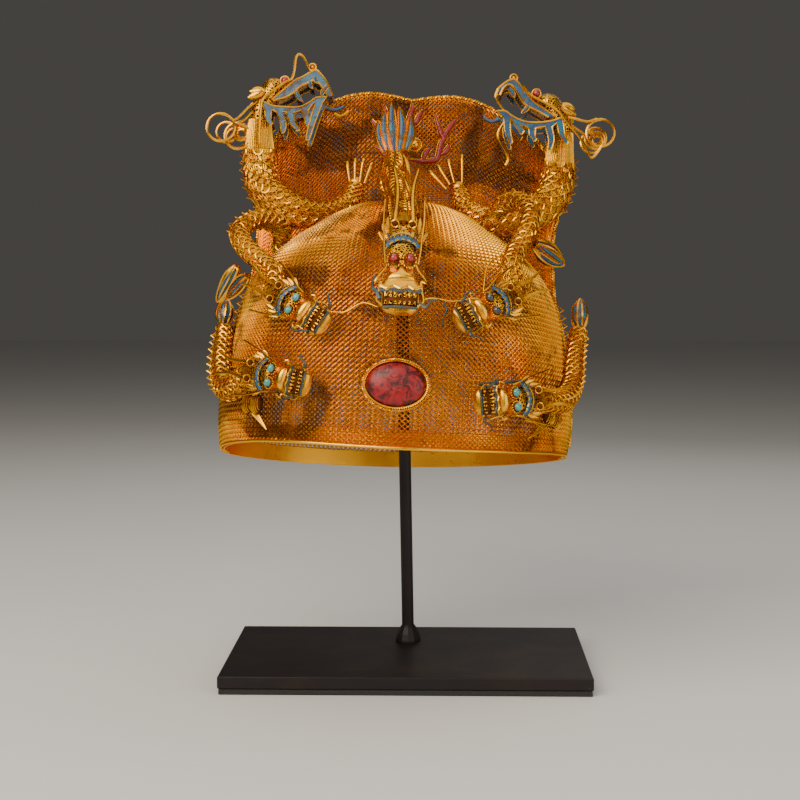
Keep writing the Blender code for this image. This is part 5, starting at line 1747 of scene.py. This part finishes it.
def make_hill_heads():
    for side, name in ((-1, "rear_left"), (1, "rear_right")):
        head = HILL_HEADS[name]
        y = HEAD_PLANE
        near, far = y - HEAD_HALF_DEPTH, y + HEAD_HALF_DEPTH
        top, low = profile(head["jaw_top"], y), profile(head["jaw_low"], y)
        plates = []
        for depth in (near, far):
            plates.append(band(top, low, depth - JAW_HALF_THICK, depth + JAW_HALF_THICK))
        gold_parts = []
        inner = [a.lerp(b, 0.25) for a, b in zip(top, low)]
        lower = [a.lerp(b, 0.80) for a, b in zip(top, low)]
        core = band(inner, lower, near + 0.0008, far - 0.0008)
        (x, z), (wide, high) = head["forehead"]
        bulge = Matrix.Translation((x * MM, y, z * MM)) @ Matrix.Diagonal((wide, 7.4, high, 1))
        neck = [hill_front(side * 0.985 * HILL_HALF_WIDTH, 0.905 * HILL_HEIGHT, 0.006)]
        neck.append(Vector((head["neck"][0] * MM, y, head["neck"][1] * MM)))
        neck.append(Vector((x * MM, y, z * MM)))
        skull = [core, ball(MM, bulge), bent_wires("neck", [(curved(neck), THROAT_RADIUS)], 4)]
        dressed(joined(skull), f"{name}_skull", "netted_gold", [f"{name}_head"], angle=50)
        wires = []
        for depth in (near - JAW_HALF_THICK, far + JAW_HALF_THICK):
            for key in ("jaw_top", "jaw_low"):
                wires.append((profile(head[key], depth), JAW_WIRE))
            wires.append((profile(head["lip"], depth), LIP_WIRE))
            for root, tip in head["fangs"]:
                a, b = profile((root, tip), depth, 1)
                bend = a.lerp(b, 0.5) + Vector((side * 0.0008, 0, 0.0002))
                part, outline = leaf([a, bend, b], 0.0024, 0.0012, Vector((0, -1, 0)))
                plates.append(part)
                wires.append((outline, FANG_WIRE))
        wires.append((profile(head["wires"][0], near - 0.0012), FACE_WIRE))
        for k, line in enumerate(head["wires"][1:]):
            wires.append((profile(line, near + 0.002 * k), FACE_WIRE))
        root, tip = (Vector((px * MM, near, pz * MM)) for px, pz in head["ear"])
        for shift in (Vector((0, 0, 0)), Vector((0, far - near, 0))):
            for k in range(2):
                end = tip + Vector((0.001 * k * -side, 0, 0.0040 * (k - 0.5)))
                points = [root + shift, root.lerp(end, 0.5) + shift, end + shift]
                gold_parts.append(leaf(points, 0.0056, 0.0022, Vector((0, -1, 0)))[0])
        nose = Vector((head["nostril"][0] * MM, near + 0.002, head["nostril"][1] * MM))
        turned = Matrix.Rotation(math.pi / 2, 4, "X")
        for depth in (0.0, 0.0124):
            spot = Matrix.Translation(nose + Vector((0, depth, 0))) @ turned
            gold_parts.append(ring(0.0022, 0.0006, spot))
            gold_parts.append(ball(0.0013, spot, 12, 8))
        eyes = []
        for depth in (near + 0.0012, far - 0.0012):
            spot = Matrix.Translation((head["eye"][0] * MM, depth, head["eye"][1] * MM))
            eyes.append(ball(0.0023, spot, 20, 12))
            gold_parts.append(ring(0.0027, 0.0006, spot @ turned))
        gold_parts.append(bent_wires("head_wires", wires, 1))
        dressed(joined(gold_parts), f"{name}_face", "gold", angle=50)
        dressed(joined(plates), f"{name}_jaw_plates", "blue_enamel", angle=50)
        hides = [f"{name}_eye"]
        dressed(joined(eyes), f"{name}_eyeball", "red_glass", hides, angle=60)
        combs, outlines = [], []
        for depth in (near - 0.0004, far - 0.0008):
            outline = comb_outline(head["lip"], head["beard"])
            combs.append(cut_plate(outline, depth, depth + BEARD_THICK))
            edge = [Vector((across, depth - 0.0002, up)) for across, up in outline]
            outlines.append((edge + edge[:1], BEARD_WIRE))
        beard, hides = joined(combs), [f"{name}_beard"]
        dressed(beard, f"{name}_beard_plates", "blue_enamel", hides, angle=50)
        dressed(bent_wires("edges", outlines, 1), f"{name}_beard_edges", "gold")
        tongue = profile(head["tongue"], y - 0.004)
        count = len(tongue)
        radii = [0.0016 * (1 - 0.75 * k / count) for k in range(count)]
        if head["tongue"][0][0] * side < head["tongue"][-1][0] * side:
            radii.reverse()
        tongue = bent_wires("tongue", [(tongue, radii)], 2)
        dressed(tongue, f"{name}_tongue", "blue_enamel", angle=60)
        curls = []
        for k, (cx, cz, radius) in enumerate(head["curls"]):
            loop = []
            for n in range(CURL_STEPS + 1):
                turn = math.pi / 2 + side * 2 * math.pi * CURL_TURNS * n / CURL_STEPS
                depth = y - 0.003 + 0.0022 * k - 0.0018 * n / CURL_STEPS
                across = cx * MM + radius * MM * math.cos(turn)
                up = cz * MM + radius * MM * math.sin(turn)
                loop.append(Vector((across, depth, up)))
            curls.append((loop, CURL_WIRE))
        mane = bent_wires("curls", curls, 1)
        dressed(mane, f"{name}_mane_curls", "gold", [f"{name}_mane"])


def finish_stand():
    for node, finish in (("display_stand", "blackened_steel"), ("stand_pad", "pad_rubber")):
        obj = frame["nodes"][node]
        obj.data.materials.clear()
        obj.data.materials.append(bpy.data.materials["crown_" + finish])


# Studio lights: place, size, power and color, all aimed at the crown's middle
LIGHTS = {
    "key": ((-0.60, -0.95, 1.00), (1.3, 1.1), 26, (1.0, 0.91, 0.75)),
    "fill": ((0.80, -0.75, 0.28), (1.2, 1.2), 7.5, (1.0, 0.94, 0.84)),
    "top": ((0.05, 0.10, 1.10), (1.2, 1.0), 5, (1.0, 0.97, 0.93)),
    "rim": ((0.30, 0.95, 0.70), (0.8, 0.5), 1, (1.0, 0.95, 0.88)),
}
LIGHT_AIM = Vector((0, 0, 0.2))
ROOM_COLOR = (0.30, 0.28, 0.26, 1)
ROOM_LIGHT = 0.22
FLOOR_SIZE = 6.0
FLOOR_DARK = (0.72, 0.72, 0.72)
FLOOR_PALE = (0.76, 0.76, 0.76)
# The photograph's camera: place, turn in degrees, lens and sensor in millimetres
CAMERA_PLACE = (0.01967339, -0.96340177, 0.23638353)
CAMERA_TURN = (90 - 4.650, 0.0226, 1.4205)
CAMERA_LENS = 74.873
CAMERA_SENSOR = 36.0


def area_light(name, place, size, power, color):
    light = bpy.data.lights.new(name, "AREA")
    light.shape = "RECTANGLE"
    light.size, light.size_y = size
    light.energy = power
    light.color = color
    obj = link(bpy.data.objects.new(name, light))
    obj.location = place
    aim = LIGHT_AIM - Vector(place)
    obj.rotation_euler = aim.to_track_quat("-Z", "Y").to_euler()
    return obj


def set_stage():
    scene = bpy.context.scene
    world = bpy.data.worlds.new("studio")
    world.use_nodes = True
    background = world.node_tree.nodes["Background"]
    background.inputs["Color"].default_value = ROOM_COLOR
    background.inputs["Strength"].default_value = ROOM_LIGHT
    scene.world = world
    bpy.ops.mesh.primitive_plane_add(size=FLOOR_SIZE, location=(0, 1.2, -0.0002))
    floor = bpy.context.object
    floor.name = "studio_floor"
    paint = Paint("floor")
    grain = paint.noise(3, 2, 0.5)
    paint.finish(
        base_color=paint.mix(grain, FLOOR_DARK, FLOOR_PALE),
        roughness=0.6 + grain * 0.1,
    )
    floor.data.materials.append(paint.material)
    lights = [area_light(name, *values) for name, values in LIGHTS.items()]
    data = bpy.data.cameras.new("camera")
    data.sensor_width = CAMERA_SENSOR
    data.lens = CAMERA_LENS
    data.clip_start = 0.01
    camera = link(bpy.data.objects.new("camera", data))
    camera.location = CAMERA_PLACE
    camera.rotation_euler = [math.radians(turn) for turn in CAMERA_TURN]
    scene.camera = camera


# The add-on


class GoldCrownSettings(bpy.types.PropertyGroup):
    """The sizes and colors of the crown that a maker would change."""

    mesh_wire: FloatProperty(
        name="Mesh wire", description="Radius of the woven wire", default=0.00048,
        unit="LENGTH", precision=5,
    )
    mesh_sway: FloatProperty(
        name="Mesh sway", description="How far a wire swings over and under", default=0.00025,
        unit="LENGTH", precision=5,
    )
    dome_row: FloatProperty(
        name="Dome rows", description="Height of half a hole in the dome's mesh",
        default=0.00143, unit="LENGTH", precision=5,
    )
    dome_hole: FloatProperty(
        name="Dome holes", description="Width of a hole in the dome's mesh",
        default=0.00315, unit="LENGTH", precision=5,
    )
    hill_row: FloatProperty(
        name="Hill rows", description="Height of half a hole in the hill's mesh",
        default=0.00157, unit="LENGTH", precision=5,
    )
    hill_hole: FloatProperty(
        name="Hill holes", description="Width of a hole in the hill's mesh",
        default=0.00281, unit="LENGTH", precision=5,
    )
    bright_gold: FloatVectorProperty(
        name="Bright gold", description="Gold where it is worn bright", subtype="COLOR",
        default=(1.0, 0.52, 0.030),
    )
    deep_gold: FloatVectorProperty(
        name="Deep gold", description="Gold in its warm, dull patches", subtype="COLOR",
        default=(0.60, 0.25, 0.010),
    )
    blue: FloatVectorProperty(
        name="Blue enamel", description="Enamel of the blades and jaws", subtype="COLOR",
        default=(0.0005, 0.045, 0.14),
    )
    red: FloatVectorProperty(
        name="Red enamel", description="Enamel of the flames", subtype="COLOR",
        default=(0.21, 0.001, 0.002),
    )
    red_stone: FloatVectorProperty(
        name="Red stone", description="The stone on the front", subtype="COLOR",
        default=(0.29, 0.001, 0.006),
    )
    turquoise: FloatVectorProperty(
        name="Turquoise", description="The dragons' eyes", subtype="COLOR",
        default=(0.10, 0.46, 0.42),
    )
    steel: FloatVectorProperty(
        name="Steel", description="The blackened steel of the stand", subtype="COLOR",
        default=(0.024, 0.020, 0.022),
    )


# The enamel of whiskers and lips, which isn't among the settings
GREY_ENAMEL = (0.014, 0.034, 0.038)
# For each enamel: its pale mottling, its worn ground and where the wear starts
ENAMEL_WEAR = {
    "blue_enamel": ((0.001, 0.115, 0.21), (0.11, 0.065, 0.038), 0.515),
    "grey_enamel": ((0.028, 0.064, 0.070), (0.10, 0.060, 0.025), 0.50),
    "red_enamel": ((0.27, 0.003, 0.003), (0.09, 0.004, 0.002), 0.58),
}


def mix_finishes():
    look = settings()
    mix_gold()
    colors = {"blue_enamel": look.blue[:], "grey_enamel": GREY_ENAMEL, "red_enamel": look.red[:]}
    for name, color in colors.items():
        mix_enamel(name, color, *ENAMEL_WEAR[name])
    mix_stones()
    mix_stand_finishes()


class GOLDCROWN_OT_mix_finishes(bpy.types.Operator):
    """Mix the gold, enamel, stone and steel finishes"""

    bl_idname = "gold_crown.mix_finishes"
    bl_label = "Mix Finishes"
    bl_options = {"REGISTER", "UNDO"}

    def execute(self, context):
        mix_finishes()
        return {"FINISHED"}


class GOLDCROWN_OT_weave_dome(bpy.types.Operator):
    """Weave the dome of the crown from gold wire"""

    bl_idname = "gold_crown.weave_dome"
    bl_label = "Weave Dome"
    bl_options = {"REGISTER", "UNDO"}

    def execute(self, context):
        weave_dome()
        return {"FINISHED"}


class GOLDCROWN_OT_weave_hill(bpy.types.Operator):
    """Weave the tall two-lobed back of the crown"""

    bl_idname = "gold_crown.weave_hill"
    bl_label = "Weave Hill"
    bl_options = {"REGISTER", "UNDO"}

    def execute(self, context):
        weave_hill()
        return {"FINISHED"}


class GOLDCROWN_OT_bend_rim(bpy.types.Operator):
    """Bend the rolled rim and its inner strip"""

    bl_idname = "gold_crown.bend_rim"
    bl_label = "Bend Rim"
    bl_options = {"REGISTER", "UNDO"}

    def execute(self, context):
        bend_rim()
        return {"FINISHED"}


class GOLDCROWN_OT_twist_edges(bpy.types.Operator):
    """Twist the wires along the hill's outline"""

    bl_idname = "gold_crown.twist_edges"
    bl_label = "Twist Edge Wires"
    bl_options = {"REGISTER", "UNDO"}

    def execute(self, context):
        twist_edges()
        return {"FINISHED"}


class GOLDCROWN_OT_set_stone(bpy.types.Operator):
    """Set the oval red stone in its milled bezel"""

    bl_idname = "gold_crown.set_stone"
    bl_label = "Set Stone"
    bl_options = {"REGISTER", "UNDO"}

    def execute(self, context):
        set_stone()
        return {"FINISHED"}


class GOLDCROWN_OT_make_flames(bpy.types.Operator):
    """Lay the enamel flames and the pearl on the hill"""

    bl_idname = "gold_crown.make_flames"
    bl_label = "Make Flames"
    bl_options = {"REGISTER", "UNDO"}

    def execute(self, context):
        make_flames()
        return {"FINISHED"}


class GOLDCROWN_OT_make_dome_bodies(bpy.types.Operator):
    """Make the scaled bodies of the five dragons on the dome"""

    bl_idname = "gold_crown.make_dome_bodies"
    bl_label = "Make Dome Bodies"
    bl_options = {"REGISTER", "UNDO"}

    def execute(self, context):
        make_dome_bodies()
        return {"FINISHED"}


class GOLDCROWN_OT_make_dome_heads(bpy.types.Operator):
    """Make the heads and eyes of the five dragons on the dome"""

    bl_idname = "gold_crown.make_dome_heads"
    bl_label = "Make Dome Heads"
    bl_options = {"REGISTER", "UNDO"}

    def execute(self, context):
        make_dome_heads()
        return {"FINISHED"}


class GOLDCROWN_OT_lay_dome_wires(bpy.types.Operator):
    """Lay the whiskers and wire spirals over the dome"""

    bl_idname = "gold_crown.lay_dome_wires"
    bl_label = "Lay Dome Wires"
    bl_options = {"REGISTER", "UNDO"}

    def execute(self, context):
        lay_dome_wires()
        return {"FINISHED"}


class GOLDCROWN_OT_make_feet(bpy.types.Operator):
    """Make the ribbed feet of the two lower dragons"""

    bl_idname = "gold_crown.make_feet"
    bl_label = "Make Feet"
    bl_options = {"REGISTER", "UNDO"}

    def execute(self, context):
        make_feet()
        return {"FINISHED"}


class GOLDCROWN_OT_make_tails(bpy.types.Operator):
    """Make the enamelled tail fins"""

    bl_idname = "gold_crown.make_tails"
    bl_label = "Make Tails"
    bl_options = {"REGISTER", "UNDO"}

    def execute(self, context):
        make_tails()
        return {"FINISHED"}


class GOLDCROWN_OT_make_hill_bodies(bpy.types.Operator):
    """Make the bodies and claws of the two dragons on the hill"""

    bl_idname = "gold_crown.make_hill_bodies"
    bl_label = "Make Hill Bodies"
    bl_options = {"REGISTER", "UNDO"}

    def execute(self, context):
        make_hill_bodies()
        return {"FINISHED"}


class GOLDCROWN_OT_make_hill_heads(bpy.types.Operator):
    """Make the heads, beards and manes of the two dragons on the hill"""

    bl_idname = "gold_crown.make_hill_heads"
    bl_label = "Make Hill Heads"
    bl_options = {"REGISTER", "UNDO"}

    def execute(self, context):
        make_hill_heads()
        return {"FINISHED"}


class GOLDCROWN_OT_finish_stand(bpy.types.Operator):
    """Give the stand its blackened steel and rubber"""

    bl_idname = "gold_crown.finish_stand"
    bl_label = "Finish Stand"
    bl_options = {"REGISTER", "UNDO"}

    def execute(self, context):
        finish_stand()
        return {"FINISHED"}


class GOLDCROWN_OT_set_stage(bpy.types.Operator):
    """Set up the floor, the lights and the camera"""

    bl_idname = "gold_crown.set_stage"
    bl_label = "Set Stage"
    bl_options = {"REGISTER", "UNDO"}

    def execute(self, context):
        set_stage()
        return {"FINISHED"}


STEPS = (
    GOLDCROWN_OT_mix_finishes,
    GOLDCROWN_OT_weave_dome,
    GOLDCROWN_OT_weave_hill,
    GOLDCROWN_OT_bend_rim,
    GOLDCROWN_OT_twist_edges,
    GOLDCROWN_OT_set_stone,
    GOLDCROWN_OT_make_flames,
    GOLDCROWN_OT_make_dome_bodies,
    GOLDCROWN_OT_make_dome_heads,
    GOLDCROWN_OT_lay_dome_wires,
    GOLDCROWN_OT_make_feet,
    GOLDCROWN_OT_make_tails,
    GOLDCROWN_OT_make_hill_bodies,
    GOLDCROWN_OT_make_hill_heads,
    GOLDCROWN_OT_finish_stand,
    GOLDCROWN_OT_set_stage,
)


class GOLDCROWN_PT_panel(bpy.types.Panel):
    """The steps and settings of the crown"""

    bl_idname = "GOLDCROWN_PT_panel"
    bl_label = "Gold Crown"
    bl_space_type = "VIEW_3D"
    bl_region_type = "UI"
    bl_category = "Gold Crown"

    def draw(self, context):
        look = context.scene.gold_crown
        column = self.layout.column()
        for name in GoldCrownSettings.__annotations__:
            column.prop(look, name)
        for step in STEPS:
            column.operator(step.bl_idname)


CLASSES = (GoldCrownSettings, *STEPS, GOLDCROWN_PT_panel)


def register():
    for cls in CLASSES:
        bpy.utils.register_class(cls)
    bpy.types.Scene.gold_crown = PointerProperty(type=GoldCrownSettings)


def unregister():
    del bpy.types.Scene.gold_crown
    for cls in reversed(CLASSES):
        bpy.utils.unregister_class(cls)


def main():
    register()
    for step in STEPS:
        getattr(bpy.ops.gold_crown, step.bl_idname.split(".")[1])()


if __name__ == "__main__":
    main()
